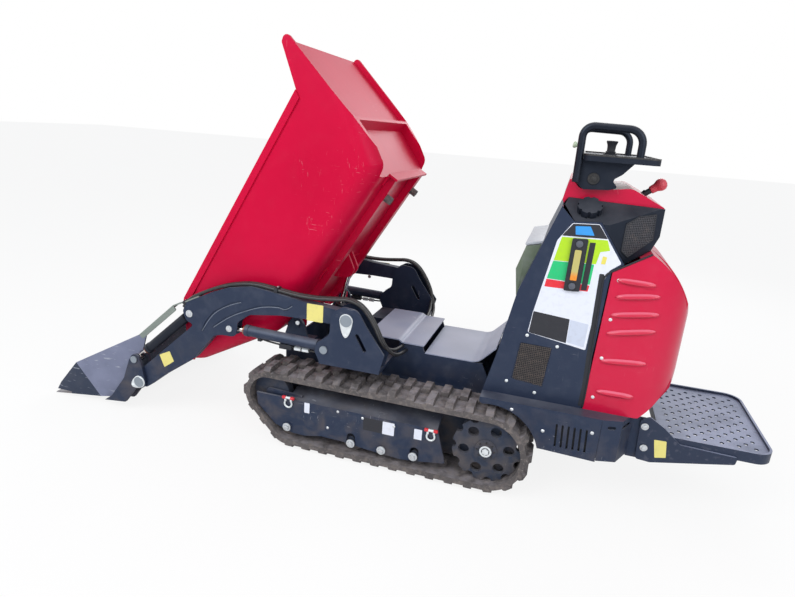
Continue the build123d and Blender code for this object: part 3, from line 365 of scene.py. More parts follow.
# %% Painted and moulded finishes
sky_tint = (0.6, 0.74, 1.0)
cool = {"gleam": 0.45, "tint": sky_tint}
pin_head_side = 0.4012
finishes = {
    "navy": used_paint(
        "navy_paint", (0.014, 0.021, 0.045), (0.022, 0.03, 0.056), 0.42, dust=0.35, mud=0.4,
        scratch=0.45, steel_beyond=pin_head_side, **cool),
    "navy_panel": used_paint(
        "navy_panel", (0.016, 0.023, 0.048), (0.022, 0.03, 0.055), 0.38, dust=0.22,
        scratch=0.12, **cool),
    "crimson": used_paint(
        "crimson_paint", (0.56, 0.003, 0.038), (0.48, 0.002, 0.03), 0.36, dust=0.05,
        scratch_colour=(0.7, 0.35, 0.42), coat=0.02, gleam=0.14, tint=(0.8, 0.6, 1.0)),
    "crimson_plastic": used_paint(
        "crimson_plastic", (0.58, 0.004, 0.045), (0.52, 0.003, 0.036), 0.3, dust=0.12,
        scratch=0.1, scratch_colour=(0.75, 0.4, 0.45), coat=0.3, gleam=0.3,
        tint=(1.0, 0.7, 0.85)),
    "black_paint": used_paint(
        "black_paint", (0.006, 0.007, 0.011), (0.011, 0.012, 0.018), 0.35, dust=0.12,
        scratch=0.3, gleam=0.3, tint=sky_tint),
    "black_plastic": used_paint(
        "black_plastic", (0.008, 0.01, 0.016), (0.014, 0.016, 0.024), 0.55, dust=0.15,
        scratch=0.1, grain=0.00012, gleam=0.3, tint=sky_tint),
    "box_plastic": used_paint(
        "box_plastic", (0.13, 0.17, 0.115), (0.11, 0.14, 0.1), 0.5, dust=1.6, scratch=0.1,
        grain=0.0001),
    "dusty_deck": used_paint(
        "dusty_deck", (0.27, 0.3, 0.42), (0.42, 0.44, 0.54), 0.26, dust=0.4, scratch=0.7,
        scratch_colour=(0.66, 0.66, 0.72)),
    "grey_strip": used_paint(
        "grey_strip", (0.2, 0.235, 0.21), (0.15, 0.18, 0.165), 0.45, dust=0.3, scratch=0.4),
    "undercarriage": used_paint(
        "undercarriage", (0.02, 0.026, 0.045), (0.032, 0.036, 0.05), 0.55, dust=0.25, mud=0.6,
        scratch=0.2, tint=sky_tint),
    "engine": used_paint("engine_casting", (0.07, 0.07, 0.08), (0.1, 0.1, 0.11), 0.6, dust=0.3),
}
print("paints and plastics:", len(finishes))

# %% [markdown]
# ## Rubber and bare metal
# Track rubber is never black on a site. Dried soil fills its grain, and the lugs
# that face up are rubbed pale. The digging edge is worn steel, ground along its
# length, and the rods are plated, with a brown film where the seals don't reach.

# %% Rubber, steel and plating
rubber = Finish("track_rubber", (0.068, 0.061, 0.062), 0.85)
rubber.patches(7.0, 6, 0.35, 0.65, 0.9, (0.12, 0.106, 0.106))
worn_top = rubber.on_top(0.5, 0.95, rubber.ramp(rubber.noise(30.0, 8), 0.35, 0.62))
rubber.lay(rubber.times(worn_top, 0.8), (0.26, 0.24, 0.26), 0.9)
rubber.patches(60.0, 8, 0.48, 0.66, 0.6, (0.2, 0.17, 0.155), 0.95, distortion=0.5)
rubber.patches(160.0, 4, 0.62, 0.72, 0.5, (0.34, 0.31, 0.3), 0.95)
rubber.raised(rubber.noise(120.0, 6), 0.0012)
finishes["track_rubber"] = rubber.done()

bare = Finish("worn_steel", (0.3, 0.29, 0.31), 0.38, metallic=0.9)
bare.patches(18.0, 8, 0.45, 0.7, 0.6, (0.16, 0.12, 0.1), 0.7)
bare.raised(bare.noise(140.0, 3, stretch=(0.12, 1, 1)), 0.0003)
finishes["worn_steel"] = bare.done()

plated = Finish("chrome_rod", (0.62, 0.58, 0.56), 0.14, metallic=1.0)
plated.patches(30.0, 6, 0.5, 0.72, 0.35, (0.4, 0.3, 0.24), 0.35)
finishes["chrome_rod"] = plated.done()

for row in frame["record"]["subparts"]:
    piece = nodes[row["node"]]
    piece.data.materials.clear()
    piece.data.materials.append(finishes[row["material_slot"]])

# %% [markdown]
# ## Faces that turn pale where they face up
# The shovel and the footboard get a finish of their own, in which what faces up
# turns a pale grey-blue. On the shovel this is painted light on the facet that
# faces up, broken by noise. On the footboard the paler grey-blue lies where the
# board faces up, in broken patches.

# %% Shovel and footboard
shovel = Finish("shovel_paint", (0.02, 0.027, 0.05), 0.42, **cool)
shovel.patches(14.0, 9, 0.45, 0.7, 0.5, (0.06, 0.065, 0.085), 0.6)
# Painted light: faces that tilt even slightly upward are painted a pale grey-blue as the lit
# facet, broken by noise.
shovel_face_highlight = shovel.on_top(0.06, 0.1, shovel.ramp(shovel.noise(11.0, 9), 0.25, 0.6, 0.7))
shovel.lay(shovel.times(shovel_face_highlight, 0.9), (0.21, 0.225, 0.32), 0.4)
shovel.patches(70.0, 4, 0.64, 0.72, 0.6, (0.4, 0.42, 0.48), 0.4, stretch=(0.3, 1, 2))
nodes["shovel_bucket"].data.materials[0] = shovel.done()

board = Finish("footboard_paint", (0.022, 0.028, 0.05), 0.42, **cool)
# Paler grey-blue where the board faces up, broken by noise.
paler_where_up = board.on_top(0.6, 0.9, board.ramp(board.noise(9.0, 9), 0.3, 0.6, 0.6))
board.lay(paler_where_up, (0.25, 0.275, 0.38), 0.4)
board.patches(55.0, 5, 0.58, 0.7, 0.4, (0.1, 0.1, 0.13), 0.6)
nodes["footboard"].data.materials[0] = board.done()
print("finishes so far:", len(bpy.data.materials))

# %% [markdown]
# ## Places on the machine
# A fitter measures this machine from the sprocket's axle and the ground, in
# millimetres, so the fittings are written that way too. One helper turns such a
# place into the frame's metres. Another gives the turned workplane on which a
# round fitting is drawn, with its own Z standing out of the surface. Plates and
# screws start a hair's breadth below the surface, so that no light shows behind.

# %% Places and workplanes
axle_ahead = 499.5
axle_up = 164
left_side = Vector((0, 1, 0))
sunk, seated = 0.2, 0.3


def at(ahead, up, left=0.0):
    """Place in metres from millimetres ahead of the axle, above ground and left."""
    return Vector(((ahead - axle_ahead) / 1000, left / 1000, up / 1000))


def workplane(place, outward=left_side, upward=(0, 0, 1)):
    """Matrix in millimetres whose Z stands out of a surface and whose Y looks up."""
    z = Vector(outward).normalized()
    y = (Vector(upward) - z * Vector(upward).dot(z)).normalized()
    turn = Matrix((y.cross(z), y, z)).transposed().to_4x4()
    return Matrix.Translation(place) @ turn @ Matrix.Scale(0.001, 4)


print("front end is", round(cad_high.x * 1000 + axle_ahead), "mm ahead of the axle")

# %% [markdown]
# ## Drawing and joining fittings
# An object for each small fitting would be slow and hard to keep. Each fitting is
# drawn alone in its own bmesh, where bevels can't touch a neighbour, and is then
# merged into the piece that holds all fittings of one finish on one body. What
# sits on both sides is drawn on the left and mirrored, which turns faces inside
# out, so normals are found again.

# %% Merging and finishing a piece
smooth_below = math.radians(38)


def merge(bm, part, matrix=None):
    """Adds a part that was drawn on its own to a piece."""
    if matrix is not None:
        bmesh.ops.transform(part, matrix=matrix, verts=part.verts)
    bmesh.ops.recalc_face_normals(part, faces=part.faces)
    drawn = bpy.data.meshes.new("drawn")
    part.to_mesh(drawn)
    part.free()
    bm.from_mesh(drawn)
    bpy.data.meshes.remove(drawn)


def piece_from(bm, name, finish, slot, body="chassis"):
    """Makes the piece's object, which rides on a body unless none is given."""
    bmesh.ops.recalc_face_normals(bm, faces=bm.faces)
    triangles = sum(len(face.verts) - 2 for face in bm.faces)
    mesh = bpy.data.meshes.new(name)
    bm.to_mesh(mesh)
    bm.free()
    mesh.materials.append(finish)
    mesh.shade_smooth()
    mesh.set_sharp_from_angle(angle=smooth_below)
    piece = new_object(name, mesh)
    if body:
        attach(piece, body)
    print(name, "has", triangles, "triangles")
    return piece


def pair_from(bm, *piece):
    """Makes a piece's object after what is drawn on the left is copied to the right."""
    everything = bm.verts[:] + bm.edges[:] + bm.faces[:]
    copy = bmesh.ops.duplicate(bm, geom=everything)["geom"]
    verts = [v for v in copy if isinstance(v, bmesh.types.BMVert)]
    bmesh.ops.scale(bm, vec=(1, -1, 1), verts=verts)
    return piece_from(bm, *piece)


# %% [markdown]
# ## Round and flat fittings
# Most fittings are turned or cut from plate. A turned one is a cone operator with
# a beveled rim. A knob or handle is a profile spun round its axis. A plate is one
# face whose corners are rounded while it is still flat, which keeps the rounding
# a true arc, and which is then extruded to its thickness.

# %% Shapes
def round_off(part, geom, offset, segments=2, affect="EDGES"):
    """Bevels edges or corners to a true arc."""
    bmesh.ops.bevel(part, geom=geom, offset=offset, segments=segments, profile=0.5,
                    affect=affect, material=-1)


def disc_part(radius, height, rim=1.0, sides=28, foot=0.0):
    """Disc, or a hexagon where it has six sides, standing on the workplane."""
    part = bmesh.new()
    bmesh.ops.create_cone(part, cap_ends=True, segments=sides, radius1=radius, radius2=radius,
                          depth=height, matrix=Matrix.Translation((0, 0, foot + height / 2)))
    if rim:
        top = [e for e in part.edges if all(v.co.z > foot + height - 0.001 for v in e.verts)]
        round_off(part, top, rim)
    return part


def turned_part(profile, sides=28):
    """Profile of (radius, height) spun round the workplane's Z."""
    part = bmesh.new()
    verts = [part.verts.new((radius, 0, height)) for radius, height in profile]
    edges = [part.edges.new(pair) for pair in zip(verts, verts[1:])]
    bmesh.ops.spin(part, geom=verts + edges, cent=(0, 0, 0), axis=(0, 0, 1), angle=math.tau,
                   steps=sides, use_merge=True)
    bmesh.ops.remove_doubles(part, verts=part.verts, dist=0.01)
    return part


def add_bolt(bm, place, size, outward=left_side, stud=0.0, washer=1.6):
    """Hexagon bolt on a washer, on a stud that stands out of the surface."""
    plane = workplane(place, outward)
    if stud:
        merge(bm, disc_part(size * 1.15, stud, rim=0.6, sides=24), plane)
    if washer:
        merge(bm, disc_part(size * 1.5, washer, rim=0.4, sides=24, foot=stud), plane)
    merge(bm, disc_part(size, size * 0.62, rim=size * 0.14, sides=6, foot=stud + washer), plane)


def add_screw(bm, place, size):
    """Domed screw head with a dimple for the driver."""
    dome = [(0, 0.28), (0.3, 0.3), (0.42, 0.5), (0.75, 0.42), (1, 0.12), (1, 0), (0, 0)]
    merge(bm, turned_part([(size * out, size * up) for out, up in dome], 20), workplane(place))


def pull_out(part, way):
    """Extrudes all faces of a part along a way in metres."""
    raised = bmesh.ops.extrude_face_region(part, geom=part.faces[:])["geom"]
    bmesh.ops.translate(part, vec=way, verts=[v for v in raised
                                              if isinstance(v, bmesh.types.BMVert)])


def add_patch(bm, places, outward, proud, rounding):
    """Flat plate through places in space, which stands proud of them outwards."""
    part = bmesh.new()
    verts = [part.verts.new(place) for place in places]
    part.faces.new(verts)
    round_off(part, verts, rounding / 1000, 4, "VERTICES")
    pull_out(part, outward * proud / 1000)
    merge(bm, part)


def add_plate(bm, corners, left, proud, rounding):
    """Plate on the machine's side from corners (ahead, up), rounded and extruded."""
    add_patch(bm, [at(ahead, up, left) for ahead, up in corners], left_side, proud, rounding)


def add_bar(bm, start, end, radius, sides=16, rim=0.4):
    """Round bar between two places."""
    way = end - start
    upward = (0, 0, 1) if abs(way.normalized().z) < 0.9 else (1, 0, 0)
    merge(bm, disc_part(radius, way.length * 1000, rim=rim, sides=sides),
          workplane(start, way, upward))


# %% [markdown]
# ## Finishes for the fittings
# The fittings are zinc-plated bolts, red pins, black hoses and plain plates. They
# are small, so their finishes need only a little grain and grime, but each gets
# some, because a perfectly even colour looks like a computer drawing.

# %% Fitting finishes
def plain_finish(name, colour, roughness=0.4, metallic=0.0, grime=(0.25, 0.2, 0.17), share=0.35):
    """Even finish with some grime in broken patches."""
    coating = Finish(name, colour, roughness, metallic=metallic)
    coating.patches(60.0, 6, 0.5, 0.74, share, grime, 0.75)
    coating.raised(coating.noise(360.0, 2), 0.0001)
    return coating.done()


zinc = plain_finish("zinc_plated", (0.62, 0.65, 0.68), 0.32, metallic=0.75)
pale_zinc = plain_finish("pale_zinc", (0.72, 0.76, 0.78), 0.42, metallic=0.35, share=0.2)
pin_red = plain_finish("pin_red", (0.62, 0.02, 0.035), 0.38, share=0.15)
grip_red = plain_finish("grip_red", (0.62, 0.06, 0.09), share=0.15, grime=(0.6, 0.2, 0.22))
hose_black = plain_finish("hose_black", (0.018, 0.018, 0.02), 0.42, share=0.3,
                          grime=(0.09, 0.08, 0.075))
seam_black = plain_finish("seam_black", (0.008, 0.01, 0.016), 0.6, share=0.2,
                          grime=(0.04, 0.04, 0.05))
plate_white = plain_finish("plate_white", (0.72, 0.75, 0.84), share=0.12)
plate_yellow = plain_finish("plate_yellow", (0.74, 0.66, 0.2), share=0.12)
plate_dark = plain_finish("plate_dark", (0.014, 0.015, 0.022), share=0.12,
                          grime=(0.05, 0.05, 0.06))
band_lime = plain_finish("band_lime", (0.42, 0.68, 0.01), share=0.08)
band_green = plain_finish("band_green", (0.01, 0.5, 0.17), share=0.08)
band_red = plain_finish("band_red", (0.72, 0.02, 0.035), share=0.08)
grey_cap = plain_finish("grey_cap", (0.1, 0.11, 0.14), metallic=0.3, share=0.2)
print("finishes so far:", len(bpy.data.materials))

# %% [markdown]
# ## Bolts, axle ends and shackles on the track frames
# The roller axles end in bolts that stand well clear of the frame plate, and two
# shackles with red pins hang at its upper edge for lashing the machine down. A
# shackle's bow is a small circle spun round most of a turn.

# %% Track frames
frame_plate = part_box("track_frame_left")[1].y * 1000

bm = bmesh.new()
for ahead, up in [(782, 92), (511, 83), (387, 83), (262, 87)]:
    add_bolt(bm, at(ahead, up, frame_plate - 1), 11.5, stud=9.0)
for ahead, up in [(611, 123), (571, 201), (470, 196), (345, 190)]:
    add_screw(bm, at(ahead, up, frame_plate - seated), 5.5)
pair_from(bm, "track_frame_bolts", zinc, "chrome_rod")

shackle_places = [(778, 218), (202, 208)]
shackle_line = frame_plate + 5
bow_radius, bow_turn = 15, 250
bm = bmesh.new()
for ahead, up in shackle_places:
    centre = at(ahead, up - 24, shackle_line)
    bow = bmesh.new()
    bmesh.ops.create_circle(bow, cap_ends=False, segments=12, radius=3.6,
                            matrix=Matrix.Translation((bow_radius, 0, 0))
                            @ Matrix.Rotation(math.pi / 2, 4, "X"))
    bmesh.ops.spin(bow, geom=bow.verts[:] + bow.edges[:], cent=(0, 0, 0), axis=(0, 0, 1),
                   angle=-math.radians(bow_turn), steps=26, use_merge=False)
    bmesh.ops.holes_fill(bow, edges=[e for e in bow.edges if len(e.link_faces) == 1], sides=12)
    merge(bm, bow, workplane(centre) @ Matrix.Rotation(math.radians(35), 4, "Z"))
    for way in (-1, 1):
        add_bar(bm, at(ahead + way * 12, up - 14, shackle_line),
                at(ahead + way * 11, up + 5, shackle_line), 4.6)
    add_bar(bm, at(ahead - 11, up + 1, shackle_line), at(ahead + 11, up + 1, shackle_line), 5.4)
pair_from(bm, "shackle_bows", pale_zinc, "chrome_rod")

bm = bmesh.new()
for ahead, up in shackle_places:
    for way in (-1, 1):
        add_bar(bm, at(ahead + way * 10, up + 1, shackle_line),
                at(ahead + way * 25, up + 1, shackle_line), 6.5, rim=2.0)
pair_from(bm, "shackle_pins", pin_red, "crimson")

# %% [markdown]
# ## Plain plates
# The frames and the arms carry small plates, left plain here: white and yellow ones
# and a dark one. Each is thin, has rounded corners and is on both sides of the
# machine.

# %% Plates on the frames and arms
def plates_from(outlines, left, proud, rounding, *piece, make=pair_from):
    """Piece of plates alone, on both sides unless another maker is given."""
    bm = bmesh.new()
    for corners in outlines:
        add_plate(bm, corners, left, proud, rounding)
    make(bm, *piece)


arm_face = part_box("loader_arm_left")[1].y * 1000
plates_from([[(689, 168), (711, 168), (711, 211), (689, 211)],
             [(236, 158), (266, 158), (266, 200), (236, 200)],
             [(343, 150), (389, 150), (389, 202), (343, 202)]],
            frame_plate - sunk, 0.8, 2, "frame_plates_white", plate_white, "grey_strip")
plates_from([[(391, 150), (466, 150), (466, 202), (391, 202)]],
            frame_plate - sunk, 0.7, 2, "frame_plates_dark", plate_dark, "black_paint")
plates_from([[(708, 550), (643, 550), (643, 616), (708, 616)],
             [(1368, 290), (1318, 314), (1299, 272), (1347, 238)]],
            arm_face - sunk, 0.9, 3, "arm_plates_yellow", plate_yellow, "grey_strip",
            "loader_arms")

# %% [markdown]
# ## Pins on the loader
# Each joint of the loader turns on a pin. A keeper plate, shaped like a teardrop,
# is screwed beside the pin so that it can't turn or walk out. Bending it out of a
# circle is short: the vertices on one side are pulled towards the screw.

# %% Pins and keepers
keeper_thick = 3.0


def add_keeper(bm, pin, screw, left, radius, tail):
    """Teardrop plate round a pin, with its screw at the narrow end."""
    part = disc_part(radius, keeper_thick, rim=0.7, sides=40)
    run = Vector((pin[0] - screw[0], screw[1] - pin[1], 0))
    way = run.normalized()
    for vert in part.verts:
        flat = Vector((vert.co.x, vert.co.y, 0))
        ahead = flat.dot(way)
        if ahead > 0:
            share = ahead / radius
            across = (flat - way * ahead) * (1 - 0.25 * share)
            moved = way * (share * (run.length + tail)) + across
            vert.co.x, vert.co.y = moved.x, moved.y
    merge(bm, part, workplane(at(*pin, left)))
    add_screw(bm, at(*screw, left + keeper_thick - sunk), 5.0)


def add_block(bm, place, size, rounding=2.0, lean=0.0):
    """Rounded block of a size ahead, left and up, leaning forward by degrees."""
    part = bmesh.new()
    bmesh.ops.create_cube(part, size=1.0, matrix=Matrix.Diagonal((*size, 1)))
    round_off(part, part.edges[:], rounding)
    merge(bm, part, Matrix.Translation(place) @ Matrix.Rotation(math.radians(lean), 4, "Y")
          @ Matrix.Scale(0.001, 4))


arm_pin, shovel_pin = (547, 578), (1468, 152)
lift_pin, lift_far = (631, 451), (1037, 460)
tilt_pin, tilt_far = (1215, 493), (1486, 251)
pin_head = 6
post_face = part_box("loader_post_left")[1].y * 1000 - pin_head
bracket_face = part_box("shovel_brackets")[1].y * 1000 - pin_head

bm = bmesh.new()
add_keeper(bm, arm_pin, (547, 522), post_face - seated, 25.5, 9)
pair_from(bm, "arm_pin_keepers", pale_zinc, "grey_strip")

bm = bmesh.new()
for pin, size in ((lift_far, 13), (tilt_pin, 15), ((744, 534), 8)):
    merge(bm, disc_part(size, 4.0, rim=1.0), workplane(at(*pin, arm_face - 0.5)))
    merge(bm, disc_part(size * 0.6, 2.0, rim=0.5, sides=6),
          workplane(at(*pin, arm_face + 3.3)))
pair_from(bm, "arm_pins", zinc, "chrome_rod", "loader_arms")

bm = bmesh.new()
ring = [(22.3, 2), (25, 2), (25, 4.6), (24, 5.4), (23, 5.4), (22.3, 4.6), (22.3, 2)]
merge(bm, turned_part(ring, 40), workplane(at(*shovel_pin, bracket_face - seated)))
add_keeper(bm, shovel_pin, (1500, 132), bracket_face - seated, 27, 8)
pair_from(bm, "shovel_pins", pale_zinc, "chrome_rod", "shovel")

# %% [markdown]
# ## Highlights on the pressed grooves
# The arm's elbow is stiffened by two pressed grooves. Along their lower lips, a
# thin pale bead partly sunk in the plate is a painted highlight, which shows better
# than a change of colour would, because it also catches the light.

# %% Groove lips
def add_tube(bm, places, radius):
    """Sweeps a round section along a smooth line through space."""
    data = bpy.data.curves.new("run", "CURVE")
    data.dimensions = "3D"
    data.resolution_u = 8
    data.bevel_depth = radius / 1000
    data.bevel_resolution = 3
    data.use_fill_caps = True
    run = data.splines.new("NURBS")
    run.points.add(len(places) - 1)
    for point, place in zip(run.points, places):
        point.co = (*place, 1)
    run.order_u = 3
    run.use_endpoint_u = True
    holder = new_object("run", data)
    swept = bpy.data.meshes.new_from_object(
        holder.evaluated_get(bpy.context.evaluated_depsgraph_get()))
    bpy.data.objects.remove(holder)
    bpy.data.curves.remove(data)
    part = bmesh.new()
    part.from_mesh(swept)
    bpy.data.meshes.remove(swept)
    bmesh.ops.remove_doubles(part, verts=part.verts, dist=0.00001)
    merge(bm, part)


lip_radius = 1.7
bm = bmesh.new()
for groove in ([(1159, 431), (1136, 470), (1096, 520), (1020, 564), (982, 575)],
               [(1107, 454), (1051, 498), (990, 532), (900, 571), (821, 582), (794, 572),
                (768, 594)]):
    add_tube(bm, [at(*place, arm_face - 0.6) for place in groove], lip_radius)
# The beads' pale colour is a painted highlight along the grooves' lower lips.
groove_lip_highlight = plain_finish("groove_lip_highlight", (0.14, 0.165, 0.22), 0.35, share=0.4,
                        grime=(0.03, 0.035, 0.05))
pair_from(bm, "groove_lips", groove_lip_highlight, "navy", "loader_arms")

# %% [markdown]
# ## Hoses
# Two hoses a side feed the shovel's cylinders. They leave the frame behind the
# post, loop over the arm's pivot and lie clamped along the arm's top edge, where
# they are as fixed as the arm, so they are swept tubes. Only the loop over the
# pivot bends when the arm lifts, so it is a piece of its own, which rides on no
# body.

# %% Hose runs
hose_radius = 7.0
inner_hose, outer_hose = 361, 377
clamp_line = 369
arm_line = [(1246, 514), (1227, 549), (1124, 602), (1040, 635), (937, 654), (846, 645),
            (718, 631), (646, 638)]
pivot_line = [(646, 638), (600, 643), (551, 650), (498, 634), (450, 574), (414, 500)]
frame_line = [(390, 452, 330), (378, 424, 262), (374, 416, 170)]
bm = bmesh.new()
for left in (inner_hose, outer_hose):
    add_tube(bm, [at(*place, left) for place in arm_line], hose_radius)
pair_from(bm, "arm_hoses", hose_black, "black_plastic", "loader_arms")

bm = bmesh.new()
for left in (inner_hose, outer_hose):
    route = [at(*place, left) for place in pivot_line]
    shift = left - inner_hose
    route += [at(ahead + shift, up + shift, out) for ahead, up, out in frame_line]
    add_tube(bm, route, hose_radius)
pivot_hoses = pair_from(bm, "pivot_hoses", hose_black, "black_plastic", None)
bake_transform(pivot_hoses)

bm = bmesh.new()
clamps = [(1236, 532, 62), (838, 643, -7)]
clamp_top = 10.5
for ahead, up, lean in clamps:
    add_block(bm, at(ahead, up, clamp_line), (16, 38, 22), 4.0, lean)
pair_from(bm, "hose_clamps", seam_black, "black_plastic", "loader_arms")

bm = bmesh.new()
for ahead, up, lean in clamps:
    place = at(ahead, up, clamp_line)
    upward = Matrix.Rotation(math.radians(lean), 3, "Y") @ Vector((0, 0, 1))
    add_bolt(bm, place + upward * (clamp_top / 1000), 4.5, outward=upward, washer=0)
pair_from(bm, "clamp_bolts", zinc, "chrome_rod", "loader_arms")

# %% [markdown]
# ## Under and round the cylinders
# A pipe runs under each lift cylinder's barrel, through black blocks and pale
# fittings, and swings with it. Where each rod comes out, a gland ring closes the
# barrel. It is turned, with its axis on the line between the cylinder's two ends.

# %% Pipes and glands
cylinder_line = 369
rod_bore = 10.4


def along(start, end, distance):
    """Place at a distance in millimetres from one pin towards another."""
    way = (Vector(end) - Vector(start)).normalized() * distance
    return at(start[0] + way.x, start[1] + way.y, cylinder_line)


def add_gland(bm, start, end, distance, radius):
    """Ring round a rod, facing along the cylinder."""
    profile = [(rod_bore, 0), (radius, 0), (radius + 1.5, 2), (radius + 1.5, 7), (radius, 9),
               (rod_bore + 3, 9), (rod_bore, 7), (rod_bore, 0)]
    place = along(start, end, distance)
    way = along(start, end, distance + 1) - place
    merge(bm, turned_part(profile, 32), workplane(place, way))


bm = bmesh.new()
pipe_run = [(945, 446), (918, 434), (828, 424), (700, 421), (660, 424), (640, 440)]
add_tube(bm, [at(*place, cylinder_line) for place in pipe_run], 3.6)
pair_from(bm, "lift_pipes", hose_black, "black_plastic", "lift_barrels")

bm = bmesh.new()
add_block(bm, at(800, 423, cylinder_line), (52, 22, 20))
add_block(bm, at(912, 433, cylinder_line), (16, 18, 16))
pair_from(bm, "pipe_blocks", seam_black, "black_plastic", "lift_barrels")

bm = bmesh.new()
for ahead in (764, 732):
    merge(bm, disc_part(8.5, 26, rim=1.4, sides=6),
          workplane(at(ahead, 421, cylinder_line), (-1, 0, 0)))
pair_from(bm, "pipe_fittings", pale_zinc, "chrome_rod", "lift_barrels")

gland_brown = plain_finish("gland_brown", (0.3, 0.11, 0.06), metallic=0.6, share=0.5)
bm = bmesh.new()
add_gland(bm, lift_pin, lift_far, 341.5, 17.5)
pair_from(bm, "lift_glands", gland_brown, "worn_steel", "lift_barrels")

bm = bmesh.new()
add_gland(bm, tilt_pin, tilt_far, 295.5, 17.0)
pair_from(bm, "tilt_glands", gland_brown, "worn_steel", "tilt_barrels")

# %% [markdown]
# ## The sprocket's hub
# A hexagon cap closes the drive's hub inside a ring of small bolts, and the wheel's
# own bolts are seen through the round holes of the sprocket, on the dish behind.

# %% Hubs
hub_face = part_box("sprockets")[1].y * 1000
bm = bmesh.new()
merge(bm, disc_part(13, 5, rim=1.2, sides=6), workplane(at(0, axle_up, hub_face - 0.4)))
merge(bm, turned_part([(15, -0.5), (22, -0.5), (22, 0.8), (20, 1.8), (17, 1.8), (15, 0.8),
                       (15, -0.5)], 36), workplane(at(0, axle_up, hub_face)))
pair_from(bm, "hub_caps", pale_zinc, "chrome_rod")


def add_bolt_ring(bm, middle, reach, count, left, size, first=0.0, washer=1.6):
    """Bolts round a middle (ahead, up), the first one turned by degrees."""
    for step in range(count):
        angle = math.tau * step / count + math.radians(first)
        add_bolt(bm, at(middle[0] + reach[0] * math.cos(angle),
                        middle[1] + reach[1] * math.sin(angle), left), size, washer=washer)


bm = bmesh.new()
add_bolt_ring(bm, (0, axle_up), (82, 82), 6, hub_face - 42, 9.0, first=9)
add_bolt_ring(bm, (0, axle_up), (32, 32), 8, hub_face - 7.2, 3.4, washer=0)
pair_from(bm, "hub_bolts", hose_black, "undercarriage")

# %% [markdown]
# ## Drive brackets
# Each drive motor is bolted to a plate at the rear of its track frame. The plate is
# seen through the gap between frame and sprocket, and closes it.

# %% Drive brackets
motor_plate = 262
plate_thick = 8
bm = bmesh.new()
add_plate(bm, [(290, 56), (290, 240), (70, 240), (-40, 232), (-72, 190), (-72, 130), (-40, 76),
               (60, 56)], motor_plate, plate_thick, 20)
add_bolt_ring(bm, (20, 160), (96, 62), 6, motor_plate + plate_thick - 0.5, 7.0, first=30)
pair_from(bm, "drive_brackets", finishes["undercarriage"], "undercarriage")

# %% [markdown]
# ## The console's side
# The fluid gauge is a slim glass in a black housing, on a pale field with plain
# bands of lime, green and red beside it, dark at its top and foot. The field and
# the bands are thin plates that are laid over each other, a few tenths of a
# millimetre apart so that they don't flicker. Only the left side has a gauge.

# %% Gauge and its field
side_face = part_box("console_side_left")[1].y * 1000
field = [(-176, 1001), (-259, 1006), (-344, 888), (-312, 862), (-292, 800), (-281, 580),
         (-84, 612), (-92, 685), (-136, 940)]
plates_from([field], side_face - 0.1, 0.4, 5, "gauge_field", plate_white, "grey_strip",
            make=piece_from)

bm = bmesh.new()
add_plate(bm, [(-178, 999), (-258, 1004), (-290, 962), (-148, 957)], side_face + 0.1, 0.4, 3)
add_plate(bm, [(-94, 690), (-215, 680), (-215, 594), (-87, 612)], side_face + 0.1, 0.4, 3)
add_plate(bm, [(-238, 945), (-256, 946), (-252, 786), (-234, 785)], side_face + 0.35, 0.4, 1)
piece_from(bm, "field_dark", plate_dark, "black_paint")

for name, paint, corners in [
    ("field_lime", band_lime, [(-149, 953), (-290, 958), (-303, 926), (-274, 918),
                               (-267, 877), (-134, 873)]),
    ("field_green", band_green, [(-133, 871), (-262, 875), (-259, 807), (-121, 810)]),
    ("field_red", band_red, [(-120, 808), (-259, 804), (-256, 783), (-117, 781)]),
    ("field_blue", plain_finish("patch_blue", (0.03, 0.3, 0.75), share=0.1),
     [(-186, 992), (-232, 996), (-248, 968), (-190, 965)]),
    ("field_grey", plain_finish("patch_grey", (0.55, 0.6, 0.72), share=0.15),
     [(-217, 678), (-277, 672), (-274, 590), (-217, 598)]),
    ("field_yellow", plain_finish("patch_yellow", (0.75, 0.66, 0.12), share=0.1),
     [(-284, 906), (-298, 904), (-295, 880), (-282, 880)]),
]:
    plates_from([corners], side_face + 0.3, 0.4, 2, name, paint, "grey_strip", make=piece_from)

plates_from([[(-183, 953), (-232, 955), (-230, 781), (-179, 779)]], side_face + 0.2, 11, 5,
            "gauge_housing", seam_black, "black_plastic", make=piece_from)

bm = bmesh.new()
for spot in [(-207, 938), (-204, 797)]:
    merge(bm, disc_part(11, 4, rim=1.5), workplane(at(*spot, side_face + 11)))
    merge(bm, disc_part(5.5, 1.6, rim=0.4, sides=6),
          workplane(at(*spot, side_face + 14.6)))
piece_from(bm, "gauge_bolts", grey_cap, "black_plastic")

fluid_top, fluid_sure = 0.848, 0.83
fluid = Finish("gauge_fluid", (0.5, 0.44, 0.14), 0.15, coat=0.5)
in_glass = fluid.ramp(fluid.along("Object", "Z"), fluid_top, fluid_sure)
fluid.lay(in_glass, (0.8, 0.26, 0.01), 0.12)
fluid.patches(40.0, 4, 0.5, 0.8, 0.3, (0.5, 0.4, 0.2), 0.2)
plates_from([[(-196, 918), (-217, 918), (-215, 817), (-194, 817)]], side_face + 10.8, 3.4, 3,
            "gauge_glass", fluid.done(), "grey_strip", make=piece_from)

# %% [markdown]
# ## Grilles
# Woven wire is a lattice of thin bars, whose weave can't be seen from a step away.
# The lower grille closes the side panel's window, in front of a dark plate of
# painted shade. The upper one covers the intake in the slanted corner of the
# housing, so its wires lie on that slant. A helper finds where each wire enters
# and leaves the opening's outline.

# %% Grilles
def span_across(corners, line, axis):
    """Where a line at a coordinate enters and leaves an outline."""
    hits = []
    for first, second in zip(corners, corners[1:] + corners[:1]):
        if (first[axis] - line) * (second[axis] - line) < 0:
            share = (line - first[axis]) / (second[axis] - first[axis])
            hits.append(first[1 - axis] + share * (second[1 - axis] - first[1 - axis]))
    return min(hits), max(hits)


